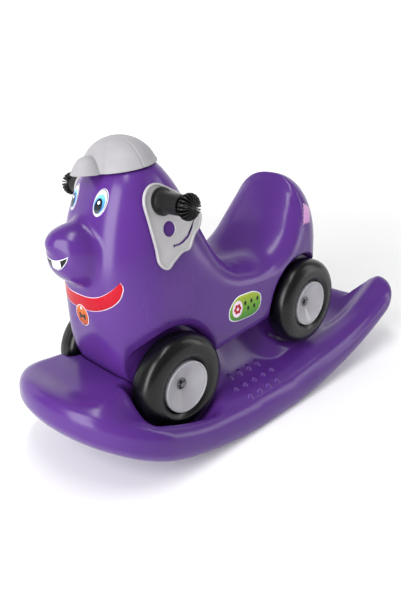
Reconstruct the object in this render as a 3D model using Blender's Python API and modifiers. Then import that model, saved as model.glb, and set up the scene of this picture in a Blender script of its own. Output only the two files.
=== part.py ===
"""Rocking animal: a wheeled ride-on dog that sits in a separate blow-moulded rocker.

Metres. X is the dog's left, the dog looks along -Y and Z is up.
The floor is z = 0 and the rocker touches it under the origin.
"""
import math

import bmesh
import bpy
import numpy as np
from mathutils import Vector
from mathutils.bvhtree import BVHTree

# Overall size
ROCKER_LENGTH = 0.892
OVERALL_HEIGHT = 0.550
ROCKER_HALF_WIDTH = 0.179
ROCKER_RADIUS = 0.8816
ROCKER_LOW_Y = -0.021
ROCKER_FRONT_Y = -0.5 * ROCKER_LENGTH
ROCKER_REAR_Y = 0.5 * ROCKER_LENGTH
FLAT_LENGTH = 0.112
FLAT_DROP = ROCKER_RADIUS - math.sqrt(ROCKER_RADIUS ** 2 - 0.25 * FLAT_LENGTH ** 2)
WALL = 0.0045

# Rocker plan: an elliptical tongue in front, two horns behind
TONGUE_LENGTH = 0.152
SPINE_REAR_Y = 0.200
REAR_NOTCH_DEPTH = 0.053
REAR_NOTCH_HALF_WIDTH = 0.076
REAR_NOTCH_EASE = 0.034
REAR_CORNER_RADIUS = 0.060

# Rocker thickness above the rolling arc
SIDE_THICKNESS = 0.080
SIDE_THICKNESS_X = 0.111
CROSS_SLOPE = 0.28
SLOPE_FROM_X = 0.060
SLOPE_TO_X = 0.160
TONGUE_THICKNESS = 0.079
TONGUE_FROM_Y = -0.171
TONGUE_EASE = 0.200
TAIL_FROM_Y = 0.099
TAIL_EASE = 0.230
TAIL_THICKNESS = 0.033
HORN_LIFT = 0.017
HORN_START_X = 0.090
HORN_SLOPE_WIDTH = 0.035
TOP_EDGE_RADIUS = 0.034
BOTTOM_EDGE_RADIUS = 0.013
TONGUE_BOTTOM_EDGE_RADIUS = 0.040
TONGUE_EDGE_FROM_Y = -0.256
TONGUE_EDGE_EASE = 0.150
MID_FRACTION = 0.36

# Raised bed under the dog
BED_TOP = 0.164
BED_HALF_WIDTH = 0.064
BED_SLOPE_WIDTH = 0.044
FOOTREST_RECESS = 0.014
FOOTREST_LENGTH = 0.075
CHEST_RECESS = 0.022
CHEST_RECESS_FROM_Y = -0.245
CHEST_RECESS_EASE = 0.050
BED_FRONT_Y = -0.321
BED_REAR_Y = 0.109
BED_REAR_EASE = 0.150
HOLLOW_REACH = 0.010

# Dip of the deck's edge ahead of and beside the front wheels
DIP_DEPTH = 0.013
DIP_LENGTH = 0.070
DIP_MID_Y = -0.284
DIP_FROM_X = 0.112
DIP_WIDTH = 0.034

# Wheels and axles
TYRE_RADIUS = 0.0909
TYRE_HALF_WIDTH = 0.027
TYRE_SKIN = 0.004
WHEEL_MID_X = 0.1095
FRONT_WHEEL = (-0.2311, 0.1430)
REAR_WHEEL = (0.1246, 0.1905)
HUB_RADIUS = 0.0467
HUB_FACE_X = 0.136
HUB_BACK_X = 0.0860
DISH_DEPTH = 0.017
DISH_SKIN = 0.003
BOSS_RADIUS = 0.0110
AXLE_RADIUS = 0.0050
AXLE_END_X = 0.1235
NUT_RADIUS = 0.0085
NUT_THICKNESS = 0.0030
NUT_RIM_THICKNESS = 0.0012
SPACER_RADIUS = 0.0085
HUB_RIM_WIDTH = 0.0040
HUB_RIM_RISE = 0.0015
HUB_BACK_RECESS = 0.0040

# Dog body
BODY_HALF_WIDTH = 0.112
BODY_FRONT_Y = -0.342
BODY_REAR_Y = 0.231
FRONT_END_LENGTH = 0.100
REAR_END_LENGTH = 0.090
CHEST_MID_Z = 0.312
RUMP_MID_Z = 0.300
WAIST_Z = 0.265
BELLY_Z = 0.165
BELLY_SLOPE = math.tan(math.radians(7.5))
TOP_POWER = 2.5
BELLY_POWER = 6.0
PLAN_POWER = 5.6
FACE_POWER = 1.98
CHEST_ROUNDING = 2.7
RUMP_ROUNDING = 2.2
DISH_OF_SEAT = 0.012
DISH_MID_Y = -0.006
DISH_LENGTH = 0.075
DISH_WIDTH = 0.045
SEAT_Z = 0.303
RUMP_Z = 0.4465
HEAD_OVER_CAP_RIM = 0.0295
NECK_LINE = ((-0.242, 1.0), (-0.211, 0.978), (-0.182, 0.862), (-0.151, 0.622), (-0.111, 0.280),
             (-0.072, 0.084), (-0.034, 0.013), (0.006, 0.0))
RUMP_LINE = ((0.041, 0.077), (0.076, 0.321), (0.104, 0.620), (0.127, 0.864), (0.142, 1.0))

# Muzzle and nose
MUZZLE_CENTRE = (0.0, -0.322, 0.375)
MUZZLE_RADII = (0.057, 0.062, 0.0565)
NOSE_CENTRE = (0.0, -0.366, 0.400)
NOSE_RADIUS = 0.021

# Wheel wells
WELL_RADIUS = 0.0970
FRONT_LIP_RADIUS = 0.1030
REAR_LIP_RADIUS = 0.1030
WELL_WALL_X = 0.0760
WELL_LIP_X = 0.1000
WELL_LIP_WIDTH = 0.0160
WELL_END_X = 0.1600
AXLE_SLOT_CLEARANCE = 0.0025

# Cap
CAP_RADII = (0.0630, 0.0665, 0.0515)
CAP_RIM_Z = OVERALL_HEIGHT - CAP_RADII[2]
CAP_RIM_Y = -0.242
BRIM_CENTRE_Y = -0.287
BRIM_RADII = (0.0430, 0.0400, 0.0280)
CAP_SKIN = 0.0025
CAP_POST_RADIUS = 0.0080
CAP_POST_REACH = 0.0120
CAP_SOCKET_DEPTH = 0.0300

# Ear plates, handlebar and grips
PLATE_THICKNESS = 0.0050
PLATE_RIM = 0.0020
PLATE_PANEL_INSET = 0.0040
PLATE_X = 0.0913
PLATE_LEAN = math.radians(9.0)
PLATE_HOLE = (0.0082, -0.0444)
PLATE_HOLE_RADIUS = 0.0118
SLOT_START_RADIUS = 0.0024
BAR_Y = -0.2368
BAR_UNDER_CAP_RIM = 0.0428
BAR_Z = CAP_RIM_Z - BAR_UNDER_CAP_RIM
BAR_RADIUS = 0.0110
BAR_HALF_LENGTH = 0.1500
GRIP_END_X = 0.1658
GRIP_RADIUS = 0.0165
FLANGE_RADIUS = 0.0215
FLANGE_THICKNESS = 0.0040
KNOB_RADIUS = 0.0225
KNOB_LENGTH = 0.0340
KNOB_END_RADIUS = 0.0079
FIN_COUNT = 16
FIN_DEPTH = 0.0045

# Smooth outlines as (y, z) about the handlebar, and the slot's (y, z, half width)
PLATE_OUTLINE = ((-0.006, 0.0285), (-0.026, 0.022), (-0.035, 0.003), (-0.031, -0.028), (-0.0252, -0.068),
                 (-0.0225, -0.094), (-0.007, -0.107), (0.011, -0.0965), (0.028, -0.0870), (0.045, -0.0840),
                 (0.0585, -0.0655), (0.0745, -0.050), (0.0775, -0.028), (0.050, -0.001), (0.024, 0.0155))
SLOT_LINE = ((0.0150, -0.0725, 0.0012), (0.0240, -0.0722, 0.0016), (0.0333, -0.0695, 0.0024),
             (0.0453, -0.0628, 0.0030), (0.0553, -0.0510, 0.0026), (0.0622, -0.0386, 0.0010))
SLOT_START = (0.0135, -0.0725)
OUTLINE_STEPS = 3

# Footrest studs
STUD_PITCH = 0.0270
STUD_ROW_PITCH = 0.0260
STUD_RADIUS = 0.0052
STUD_HEIGHT = 0.0022
STUD_FIRST_ROW_X = 0.0990
STUD_MID_Y = -0.0440

# Vent plug
VENT_RADIUS = 0.0060
VENT_Y = 0.2790
PLUG_HEAD_RADIUS = 0.0095
PLUG_HEAD_THICKNESS = 0.0015
PLUG_REACH = 0.0030

# Fits
TOUCH_GAP = 0.0003
SEAT_GAP = 0.0006
POCKET_CLEARANCE = 0.0040
POCKET_SIDE_CLEARANCE = 0.0140
BORE_CLEARANCE = 0.0003
WHEEL_BORE_CLEARANCE = 0.0004
CUT_MARGIN = 0.0500

COLLECTION = "rocking_animal"
CUTTERS = "cutters"


def clear_scene():
    """Remove every object, mesh, material and collection of an earlier run."""
    for item in list(bpy.data.objects):
        bpy.data.objects.remove(item, do_unlink=True)
    for store in (bpy.data.meshes, bpy.data.materials, bpy.data.collections):
        for item in list(store):
            store.remove(item)


def make_collection(name):
    """Link a new collection under the scene's own."""
    group = bpy.data.collections.new(name)
    bpy.context.scene.collection.children.link(group)
    return group


def make_material(name, colour, roughness, metallic=0.0):
    """Give a Principled BSDF material with one colour."""
    material = bpy.data.materials.new(name)
    material.use_nodes = True
    shader = material.node_tree.nodes["Principled BSDF"]
    shader.inputs["Base Color"].default_value = (*colour, 1.0)
    shader.inputs["Roughness"].default_value = roughness
    shader.inputs["Metallic"].default_value = metallic
    return material


def smooth_step(value):
    """Ease from 0 to 1 while the value goes from 0 to 1."""
    value = np.clip(value, 0.0, 1.0)
    return value * value * (3.0 - 2.0 * value)


def natural_spline(points):
    """Return a function through the given (x, y) points with a continuous slope."""
    px = np.array([p[0] for p in points])
    py = np.array([p[1] for p in points])
    slope = np.gradient(py, px)
    slope[0] = 0.0
    slope[-1] = 0.0

    def evaluate(x):
        x = np.clip(x, px[0], px[-1])
        i = np.clip(np.searchsorted(px, x) - 1, 0, len(px) - 2)
        span = px[i + 1] - px[i]
        t = (x - px[i]) / span
        a = (1.0 + 2.0 * t) * (1.0 - t) ** 2
        b = t * (1.0 - t) ** 2
        c = t * t * (3.0 - 2.0 * t)
        d = t * t * (t - 1.0)
        return a * py[i] + b * span * slope[i] + c * py[i + 1] + d * span * slope[i + 1]

    return evaluate


def add_object(name, mesh, group, material=None, smooth_angle=None):
    """Put a mesh in the scene as one named object."""
    item = bpy.data.objects.new(name, mesh)
    group.objects.link(item)
    if material is not None:
        mesh.materials.append(material)
    if smooth_angle is not None:
        mesh.shade_smooth()
        mesh.set_sharp_from_angle(angle=math.radians(smooth_angle))
    if group.name == CUTTERS:
        item.hide_render = True
        item.display_type = "WIRE"
    return item


def mesh_from_bmesh(name, form):
    """Turn a bmesh into a mesh whose faces point outward."""
    bmesh.ops.recalc_face_normals(form, faces=form.faces)
    if form.calc_volume(signed=True) < 0.0:
        bmesh.ops.reverse_faces(form, faces=form.faces)
    mesh = bpy.data.meshes.new(name)
    form.to_mesh(mesh)
    form.free()
    return mesh


def loft_mesh(name, rings, weld=1e-5):
    """Join closed rings of equal point counts, and close both ends."""
    form = bmesh.new()
    rows = [[form.verts.new(point) for point in ring] for ring in rings]
    count = len(rows[0])
    for lower, upper in zip(rows[:-1], rows[1:]):
        for i in range(count):
            j = (i + 1) % count
            form.faces.new((lower[i], lower[j], upper[j], upper[i]))
    form.faces.new(rows[0])
    form.faces.new(list(reversed(rows[-1])))
    bmesh.ops.remove_doubles(form, verts=form.verts, dist=weld)
    bmesh.ops.dissolve_degenerate(form, edges=form.edges, dist=weld)
    bmesh.ops.triangulate(form, faces=form.faces)
    return mesh_from_bmesh(name, form)


def add_boolean(target, cutter, operation):
    """Add one exact Boolean to the target."""
    modifier = target.modifiers.new(operation.lower() + "_" + cutter.name, "BOOLEAN")
    modifier.operation = operation
    modifier.solver = "EXACT"
    modifier.object = cutter
    return modifier


def add_turned(name, profile, steps, group, material=None):
    """Turn a profile of (radius, height) points about local Z with a Screw modifier."""
    mesh = bpy.data.meshes.new(name)
    points = [(radius, 0.0, height) for radius, height in profile]
    closed = min(radius for radius, height in profile) > 0.0
    edges = [(i, i + 1) for i in range(len(points) - 1)]
    if closed:
        edges.append((len(points) - 1, 0))
    mesh.from_pydata(points, edges, [])
    item = add_object(name, mesh, group, material)
    screw = item.modifiers.new("turn", "SCREW")
    screw.steps = steps
    screw.render_steps = steps
    screw.use_merge_vertices = True
    screw.merge_threshold = 0.0001
    screw.use_smooth_shade = True
    return item


def lay_on_x(item, side, x, y, z):
    """Turn local Z to point away from the dog on the given side, at the given place."""
    item.rotation_euler = (0.0, side * math.pi / 2.0, 0.0)
    item.location = (side * x, y, z)


def arc_height(y):
    """Height of the rolling arc over the floor; its chord at the low point lies on the floor."""
    return ROCKER_RADIUS - FLAT_DROP - np.sqrt(ROCKER_RADIUS ** 2 - (y - ROCKER_LOW_Y) ** 2)


def rocker_outline(count):
    """Plan of the rocker, counter-clockwise from the front tip, with its spine points."""
    front_centre = ROCKER_FRONT_Y + TONGUE_LENGTH
    quarter = count // 4
    angle = np.linspace(0.0, math.pi / 2.0, quarter, endpoint=False)
    tongue_x = ROCKER_HALF_WIDTH * np.sin(angle)
    tongue_y = front_centre - TONGUE_LENGTH * np.cos(angle)
    corner_y = ROCKER_REAR_Y - REAR_CORNER_RADIUS
    pitch = 0.5 * FLAT_LENGTH
    ahead = int((ROCKER_LOW_Y - front_centre) / pitch - 0.1)
    behind = int((corner_y - ROCKER_LOW_Y) / pitch - 0.1)
    steps = np.concatenate([np.arange(-ahead, 0), np.arange(1, behind + 1)])
    stations = ROCKER_LOW_Y + pitch * steps
    flank_y = np.concatenate([[front_centre], stations])
    flank_x = np.full(len(flank_y), ROCKER_HALF_WIDTH)
    rest = count // 3
    bend = max(rest // 2, 3)
    turn = np.linspace(0.0, math.pi / 2.0, bend, endpoint=False)
    corner_x = ROCKER_HALF_WIDTH - REAR_CORNER_RADIUS * (1.0 - np.cos(turn))
    corner_y = corner_y + REAR_CORNER_RADIUS * np.sin(turn)
    back_x = np.linspace(ROCKER_HALF_WIDTH - REAR_CORNER_RADIUS, 0.0, rest - bend)
    notch = smooth_step((REAR_NOTCH_HALF_WIDTH - back_x) / REAR_NOTCH_EASE + 1.0)
    back_y = ROCKER_REAR_Y - REAR_NOTCH_DEPTH * notch
    half_x = np.concatenate([tongue_x, flank_x, corner_x, back_x])
    half_y = np.concatenate([tongue_y, flank_y, corner_y, back_y])
    x = np.concatenate([half_x, -half_x[-2:0:-1]])
    y = np.concatenate([half_y, half_y[-2:0:-1]])
    spine_y = np.clip(y, front_centre, SPINE_REAR_Y)
    return x, y, spine_y


def deck_height(x, y):
    """Top of the rocker before its edges are rounded."""
    front = smooth_step((TONGUE_FROM_Y - y) / TONGUE_EASE)
    rear = smooth_step((y - TAIL_FROM_Y) / TAIL_EASE)
    thickness = SIDE_THICKNESS + (TONGUE_THICKNESS - SIDE_THICKNESS) * front
    thickness = thickness + (TAIL_THICKNESS - SIDE_THICKNESS) * rear
    horn = HORN_LIFT * rear * smooth_step((np.abs(x) - HORN_START_X) / HORN_SLOPE_WIDTH)
    outward = SIDE_THICKNESS_X - np.clip(np.abs(x), SLOPE_FROM_X, SLOPE_TO_X)
    fall = CROSS_SLOPE * outward * (1.0 - rear) * (1.0 - front)
    side = arc_height(y) + thickness + horn + fall
    recess = FOOTREST_RECESS * np.exp(-((y - STUD_MID_Y) / FOOTREST_LENGTH) ** 4)
    recess = recess + CHEST_RECESS * smooth_step((CHEST_RECESS_FROM_Y - y) / CHEST_RECESS_EASE)
    across = 1.0 - smooth_step((np.abs(x) - BED_HALF_WIDTH + recess) / BED_SLOPE_WIDTH)
    ahead = smooth_step((y - ROCKER_FRONT_Y) / (BED_FRONT_Y - ROCKER_FRONT_Y))
    behind = 1.0 - smooth_step((y - BED_REAR_Y) / BED_REAR_EASE)
    bed = np.maximum(BED_TOP - side, 0.0) * across * ahead * behind
    along = np.exp(-((y - DIP_MID_Y) / DIP_LENGTH) ** 2)
    dip = DIP_DEPTH * along * smooth_step((np.abs(x) - DIP_FROM_X) / DIP_WIDTH)
    return side + bed - dip


def low_deck_height(x, y, reach):
    """Lowest deck height at a point and a short way to each side of it."""
    steps = ((0.0, 0.0), (reach, 0.0), (-reach, 0.0), (0.0, reach), (0.0, -reach))
    heights = [deck_height(x + dx, y + dy) for dx, dy in steps]
    return np.min(heights, axis=0)


def rocker_rings(count, top_steps, bottom_steps, inset):
    """Rings of the rocker's skin, from the spine on top, round the edge, to the spine below."""
    x, y, spine_y = rocker_outline(count)
    reach = np.hypot(x, y - spine_y)
    shrink = (reach - inset) / reach
    rings = []
    top = np.sin(np.linspace(0.0, math.pi / 2.0, top_steps + 1))
    bottom = np.sin(np.linspace(0.0, math.pi / 2.0, bottom_steps + 1))[::-1][1:]
    for is_top, fractions in ((True, top), (False, bottom)):
        for fraction in fractions:
            scale = fraction * shrink
            px = x * scale
            py = spine_y + (y - spine_y) * scale
            low = arc_height(py)
            high = low_deck_height(px, py, HOLLOW_REACH if inset > 0.0 else 0.0)
            middle = low + MID_FRACTION * (np.minimum(high, low + SIDE_THICKNESS) - low)
            edge = reach * (shrink - scale)
            if is_top:
                round_off = np.clip(edge / (TOP_EDGE_RADIUS - 0.5 * inset), 0.0, 1.0)
                rise = np.sqrt(1.0 - (1.0 - round_off) ** 2)
                pz = middle + np.maximum(high - inset - middle, 0.001) * rise
            else:
                tongue = smooth_step((TONGUE_EDGE_FROM_Y - py) / TONGUE_EDGE_EASE)
                radius = BOTTOM_EDGE_RADIUS + (TONGUE_BOTTOM_EDGE_RADIUS - BOTTOM_EDGE_RADIUS) * tongue
                round_off = np.clip(edge / (radius - 0.5 * inset), 0.0, 1.0)
                rise = np.sqrt(1.0 - (1.0 - round_off) ** 2)
                pz = middle - (middle - low - inset) * rise
            rings.append(np.stack([px, py, pz], axis=1))
    return rings


def rocker_mesh(name, count, top_steps, bottom_steps, inset):
    """Skin of the rocker, zipped along its spine above and below."""
    rings = rocker_rings(count, top_steps, bottom_steps, inset)
    form = bmesh.new()
    rows = [[form.verts.new(point) for point in ring] for ring in rings]
    around = len(rows[0])
    for lower, upper in zip(rows[:-1], rows[1:]):
        for i in range(around):
            j = (i + 1) % around
            form.faces.new((lower[i], lower[j], upper[j], upper[i]))
    bmesh.ops.remove_doubles(form, verts=form.verts, dist=1e-5)
    bmesh.ops.dissolve_degenerate(form, edges=form.edges, dist=1e-5)
    bmesh.ops.triangulate(form, faces=form.faces)
    return mesh_from_bmesh(name, form)


def belly_height(y):
    """Underside of the dog: level with its wheels, so it slopes in the rocker."""
    return BELLY_Z + BELLY_SLOPE * y


def crown_line():
    """Points of the dog's top along the middle, from the head over the seat to the rump."""
    head_rise = CAP_RIM_Z + HEAD_OVER_CAP_RIM - SEAT_Z
    neck = [(y, SEAT_Z + head_rise * share) for y, share in NECK_LINE]
    rump = [(y, SEAT_Z + (RUMP_Z - SEAT_Z) * share) for y, share in RUMP_LINE]
    return neck + rump


def body_rings(ring_count, point_count, inset):
    """Closed sections across the dog's body, from the chest to the rump."""
    line = crown_line()
    crown = natural_spline(line)
    phase = np.linspace(0.0, math.pi, ring_count + 2)[1:-1]
    middle_y = 0.5 * (BODY_FRONT_Y + BODY_REAR_Y)
    half = 0.5 * (BODY_REAR_Y - BODY_FRONT_Y)
    station = middle_y - half * np.cos(phase)
    angle = np.linspace(0.0, 2.0 * math.pi, point_count, endpoint=False)
    side = np.cos(angle)
    rise = np.sin(angle)
    front_y = BODY_FRONT_Y + FRONT_END_LENGTH
    rear_y = BODY_REAR_Y - REAR_END_LENGTH
    rings = []
    for y in station:
        t = (y - middle_y) / half
        rounding = CHEST_ROUNDING if t < 0.0 else RUMP_ROUNDING
        width = BODY_HALF_WIDTH * (1.0 - abs(t) ** PLAN_POWER) ** (1.0 / rounding)
        belly = belly_height(y)
        if y < front_y:
            reach = (front_y - y) / FRONT_END_LENGTH
            bulge = math.sqrt(max(1.0 - reach ** 2, 0.0))
            brow = (1.0 - reach ** FACE_POWER) ** (1.0 / FACE_POWER)
            high = CHEST_MID_Z + (line[0][1] - CHEST_MID_Z) * brow
            low = max(CHEST_MID_Z - (CHEST_MID_Z - belly + 0.012) * bulge, belly)
            waist = CHEST_MID_Z + (WAIST_Z - CHEST_MID_Z) * bulge
        elif y > rear_y:
            bulge = math.sqrt(max(1.0 - ((y - rear_y) / REAR_END_LENGTH) ** 2, 0.0))
            high = RUMP_MID_Z + (line[-1][1] - RUMP_MID_Z) * bulge
            low = RUMP_MID_Z - (RUMP_MID_Z - belly) * bulge
            waist = RUMP_MID_Z + (WAIST_Z - RUMP_MID_Z) * bulge
        else:
            high = float(crown(y))
            low = belly
            waist = WAIST_Z
        width = max(width - inset, 0.002)
        high = max(high - inset, waist + 0.002)
        low = min(low + inset, waist - 0.002)
        power = np.where(rise >= 0.0, TOP_POWER, BELLY_POWER)
        reach = (np.abs(side) ** power + np.abs(rise) ** power) ** (-1.0 / power)
        px = width * side * reach
        span = np.where(rise >= 0.0, high - waist, waist - low)
        pz = waist + span * rise * reach
        seat = math.exp(-((y - DISH_MID_Y) / DISH_LENGTH) ** 2)
        dish = DISH_OF_SEAT * seat * np.exp(-(px / DISH_WIDTH) ** 2) * np.clip(rise, 0.0, 1.0) ** 2
        rings.append(np.stack([px, np.full(point_count, y), pz - dish], axis=1))
    return rings


def add_ball(name, centre, radii, group, segments=20, rings=12):
    """Add an ellipsoid whose poles lie along Y."""
    form = bmesh.new()
    bmesh.ops.create_uvsphere(form, u_segments=segments, v_segments=rings, radius=1.0)
    for vertex in form.verts:
        x, y, z = vertex.co
        vertex.co = (centre[0] + radii[0] * x, centre[1] + radii[1] * z, centre[2] + radii[2] * y)
    return add_object(name, mesh_from_bmesh(name, form), group, smooth_angle=50.0)


def add_box(name, low, high, group):
    """Add a box between two corners."""
    form = bmesh.new()
    bmesh.ops.create_cube(form, size=1.0)
    for vertex in form.verts:
        for k in range(3):
            vertex.co[k] = low[k] if vertex.co[k] < 0.0 else high[k]
    return add_object(name, mesh_from_bmesh(name, form), group)


def add_rod(name, radius, x0, x1, y, z, group, material=None, segments=24):
    """Add a straight round bar along X."""
    form = bmesh.new()
    bmesh.ops.create_cone(form, cap_ends=True, segments=segments, radius1=radius, radius2=radius,
                          depth=x1 - x0)
    item = add_object(name, mesh_from_bmesh(name, form), group, material, 35.0 if material else None)
    item.rotation_euler = (0.0, math.pi / 2.0, 0.0)
    item.location = (0.5 * (x0 + x1), y, z)
    return item


def add_tube(name, outer, inner, length, group, material, steps=24):
    """Add a tube along local Z that starts at the origin."""
    profile = ((outer, length), (outer, 0.0), (inner, 0.0), (inner, length))
    return add_turned(name, profile, steps, group, material)


def well_profile(lip_radius, grow):
    """Section of one wheel well: a drum with a flared lip, closed on its axis."""
    inner = WELL_WALL_X - grow
    return ((0.0, WELL_END_X), (lip_radius + grow, WELL_END_X),
            (lip_radius + grow, WELL_LIP_X + WELL_LIP_WIDTH), (WELL_RADIUS + grow, WELL_LIP_X),
            (WELL_RADIUS + grow, inner), (0.0, inner))


def add_wells(prefix, grow, group, steps):
    """Add the four wheel-well cutters, grown by the wall for the inner skin."""
    items = []
    for place, (y, z), lip in (("front", FRONT_WHEEL, FRONT_LIP_RADIUS),
                               ("rear", REAR_WHEEL, REAR_LIP_RADIUS)):
        for side_name, side in (("left", 1.0), ("right", -1.0)):
            name = prefix + "_" + place + "_" + side_name
            item = add_turned(name, well_profile(lip, grow), steps, group)
            lay_on_x(item, side, 0.0, y, z)
            items.append(item)
    return items


def build_body(parts, cutters, plastic):
    """Hollow dog body with muzzle, wheel wells, flat head top and holes for bar and axles."""
    body = add_object("body_shell", loft_mesh("body_shell", body_rings(28, 24, 0.0)), parts, plastic, 50.0)
    inner = add_object("body_hollow", loft_mesh("body_hollow", body_rings(20, 16, WALL)), cutters)
    muzzle = add_ball("muzzle_form", MUZZLE_CENTRE, MUZZLE_RADII, cutters)
    nose = add_ball("nose_form", NOSE_CENTRE, (NOSE_RADIUS, NOSE_RADIUS, NOSE_RADIUS), cutters, 14, 8)
    hollow_radii = [radius - WALL for radius in MUZZLE_RADII]
    hollow_muzzle = add_ball("muzzle_hollow", MUZZLE_CENTRE, hollow_radii, cutters, 14, 8)
    add_boolean(inner, hollow_muzzle, "UNION")
    half = BODY_HALF_WIDTH + CUT_MARGIN
    head_cut = add_box("head_cut", (-half, -half, 0.0), (half, half, half), cutters)
    head_cut_inner = add_box("head_cut_inner", (-half, -half, 0.0), (half, half, half), cutters)
    for item, drop in ((head_cut, TOUCH_GAP), (head_cut_inner, TOUCH_GAP + WALL)):
        item.location = (0.0, CAP_RIM_Y, CAP_RIM_Z - drop)
        item.rotation_euler = (math.atan(BELLY_SLOPE), 0.0, 0.0)
    add_boolean(inner, head_cut_inner, "DIFFERENCE")
    for item in add_wells("inner_well", WALL, cutters, 20):
        add_boolean(inner, item, "DIFFERENCE")
    add_boolean(body, muzzle, "UNION")
    add_boolean(body, nose, "UNION")
    add_boolean(body, head_cut, "DIFFERENCE")
    for item in add_wells("well", 0.0, cutters, 28):
        add_boolean(body, item, "DIFFERENCE")
    add_boolean(body, inner, "DIFFERENCE")
    bar_hole = add_rod("bar_hole", BAR_RADIUS + BORE_CLEARANCE, -BAR_HALF_LENGTH, BAR_HALF_LENGTH,
                       BAR_Y, BAR_Z, cutters, segments=20)
    add_boolean(body, bar_hole, "DIFFERENCE")
    for place, (y, z) in (("front", FRONT_WHEEL), ("rear", REAR_WHEEL)):
        radius = AXLE_RADIUS + BORE_CLEARANCE
        hole = add_rod(place + "_axle_hole", radius, -BODY_HALF_WIDTH, BODY_HALF_WIDTH, y, z, cutters,
                       segments=16)
        add_boolean(body, hole, "DIFFERENCE")
    return body


def build_rocker(parts, cutters, plastic):
    """Hollow rocker with its bed, wheel pockets, footrest studs and vent."""
    base = add_object("rocker_base", rocker_mesh("rocker_base", 48, 9, 4, 0.0), parts, plastic, 50.0)
    inner = add_object("rocker_hollow", rocker_mesh("rocker_hollow", 36, 8, 2, WALL), cutters)
    grown_body = loft_mesh("body_seat", body_rings(28, 24, -SEAT_GAP))
    seat = add_object("body_seat", grown_body, cutters)
    grown_more = loft_mesh("body_seat_inner", body_rings(20, 16, -SEAT_GAP - WALL))
    seat_inner = add_object("body_seat_inner", grown_more, cutters)
    add_boolean(inner, seat_inner, "DIFFERENCE")
    for place, (y, z) in (("front", FRONT_WHEEL), ("rear", REAR_WHEEL)):
        for side_name, side in (("left", 1.0), ("right", -1.0)):
            for grow, target, label in ((WALL, inner, "inner"), (0.0, base, "outer")):
                radius = TYRE_RADIUS + POCKET_CLEARANCE + grow
                x0 = WELL_WALL_X - TOUCH_GAP - grow
                x1 = WHEEL_MID_X + TYRE_HALF_WIDTH + POCKET_SIDE_CLEARANCE + grow
                low, high = min(side * x0, side * x1), max(side * x0, side * x1)
                name = "pocket_" + label + "_" + place + "_" + side_name
                pocket = add_rod(name, radius, low, high, y, z, cutters, segments=40)
                add_boolean(target, pocket, "DIFFERENCE")
        for grow, target, label in ((WALL, inner, "inner"), (0.0, base, "outer")):
            half = AXLE_RADIUS + AXLE_SLOT_CLEARANCE + grow
            slot = add_box("axle_slot_" + label + "_" + place, (-WELL_WALL_X, y - half, z - half),
                           (WELL_WALL_X, y + half, z + 0.1), cutters)
            add_boolean(target, slot, "DIFFERENCE")
    studs = add_object("stud_form", stud_mesh("stud_form", base.data), cutters)
    add_boolean(base, studs, "UNION")
    add_boolean(base, seat, "DIFFERENCE")
    add_boolean(base, inner, "DIFFERENCE")
    through = 6.0 * WALL
    vent = add_turned("vent_hole", ((0.0, through), (VENT_RADIUS, through), (VENT_RADIUS, -through),
                                    (0.0, -through)), 16, cutters)
    place_on_arc(vent, VENT_Y)
    add_boolean(base, vent, "DIFFERENCE")
    return base


def place_on_arc(item, y):
    """Put an object on the rolling arc with its local Z along the arc's inward radius."""
    item.location = (0.0, y, float(arc_height(y)))
    item.rotation_euler = (math.asin((y - ROCKER_LOW_Y) / ROCKER_RADIUS), 0.0, 0.0)


def stud_mesh(name, deck):
    """Thirteen low round studs on each footrest, in rows of four, five and four."""
    surface = BVHTree.FromPolygons([v.co for v in deck.vertices], [tuple(p.vertices) for p in deck.polygons])
    form = bmesh.new()
    for side in (1.0, -1.0):
        for row, count in enumerate((4, 5, 4)):
            for k in range(count):
                x = side * (STUD_FIRST_ROW_X + row * STUD_ROW_PITCH)
                y = STUD_MID_Y + (k - 0.5 * (count - 1)) * STUD_PITCH
                z = surface.ray_cast(Vector((x, y, 1.0)), Vector((0.0, 0.0, -1.0)))[0].z
                centre = (x, y, z - STUD_HEIGHT)
                made = bmesh.ops.create_uvsphere(form, u_segments=6, v_segments=4, radius=1.0)
                for vertex in made["verts"]:
                    local = vertex.co.copy()
                    vertex.co = (centre[0] + STUD_RADIUS * local.x, centre[1] + STUD_RADIUS * local.y,
                                 centre[2] + 2.0 * STUD_HEIGHT * local.z)
    return mesh_from_bmesh(name, form)


def tyre_profile():
    """Section of a blown tyre that is open at its seat on the hub."""
    r, w, t = TYRE_RADIUS, TYRE_HALF_WIDTH, TYRE_SKIN
    bead = HUB_RADIUS + TOUCH_GAP
    outer = ((bead, 0.75 * w), (0.70 * r, w), (0.86 * r, 0.90 * w), (0.965 * r, 0.62 * w), (r, 0.0))
    inner = ((bead, 0.75 * w - t), (0.70 * r, w - t), (0.84 * r, 0.90 * w - t), (r - t, 0.45 * w))
    upper = list(outer)
    lower = [(radius, -height) for radius, height in reversed(outer[:-1])]
    back = [(radius, -height) for radius, height in inner]
    forth = list(reversed(inner))
    return upper + lower + back + forth


def hub_profile():
    """Section of the hub: dished face, drum and a boss on the axle."""
    face = HUB_FACE_X - HUB_BACK_X
    boss_top = face - DISH_DEPTH
    bore = AXLE_RADIUS + WHEEL_BORE_CLEARANCE
    drum = HUB_RADIUS - DISH_SKIN
    dish_back = face - HUB_RIM_RISE - 1.7 * DISH_SKIN
    return ((bore, boss_top), (BOSS_RADIUS, boss_top), (HUB_RADIUS - HUB_RIM_WIDTH, face - HUB_RIM_RISE),
            (HUB_RADIUS - 0.5 * HUB_RIM_WIDTH, face), (HUB_RADIUS, face - 0.7 * HUB_RIM_RISE),
            (HUB_RADIUS, HUB_BACK_RECESS), (drum, HUB_BACK_RECESS), (drum, dish_back),
            (BOSS_RADIUS + 0.3 * DISH_SKIN, boss_top - DISH_SKIN), (BOSS_RADIUS, 0.0), (bore, 0.0))


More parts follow.
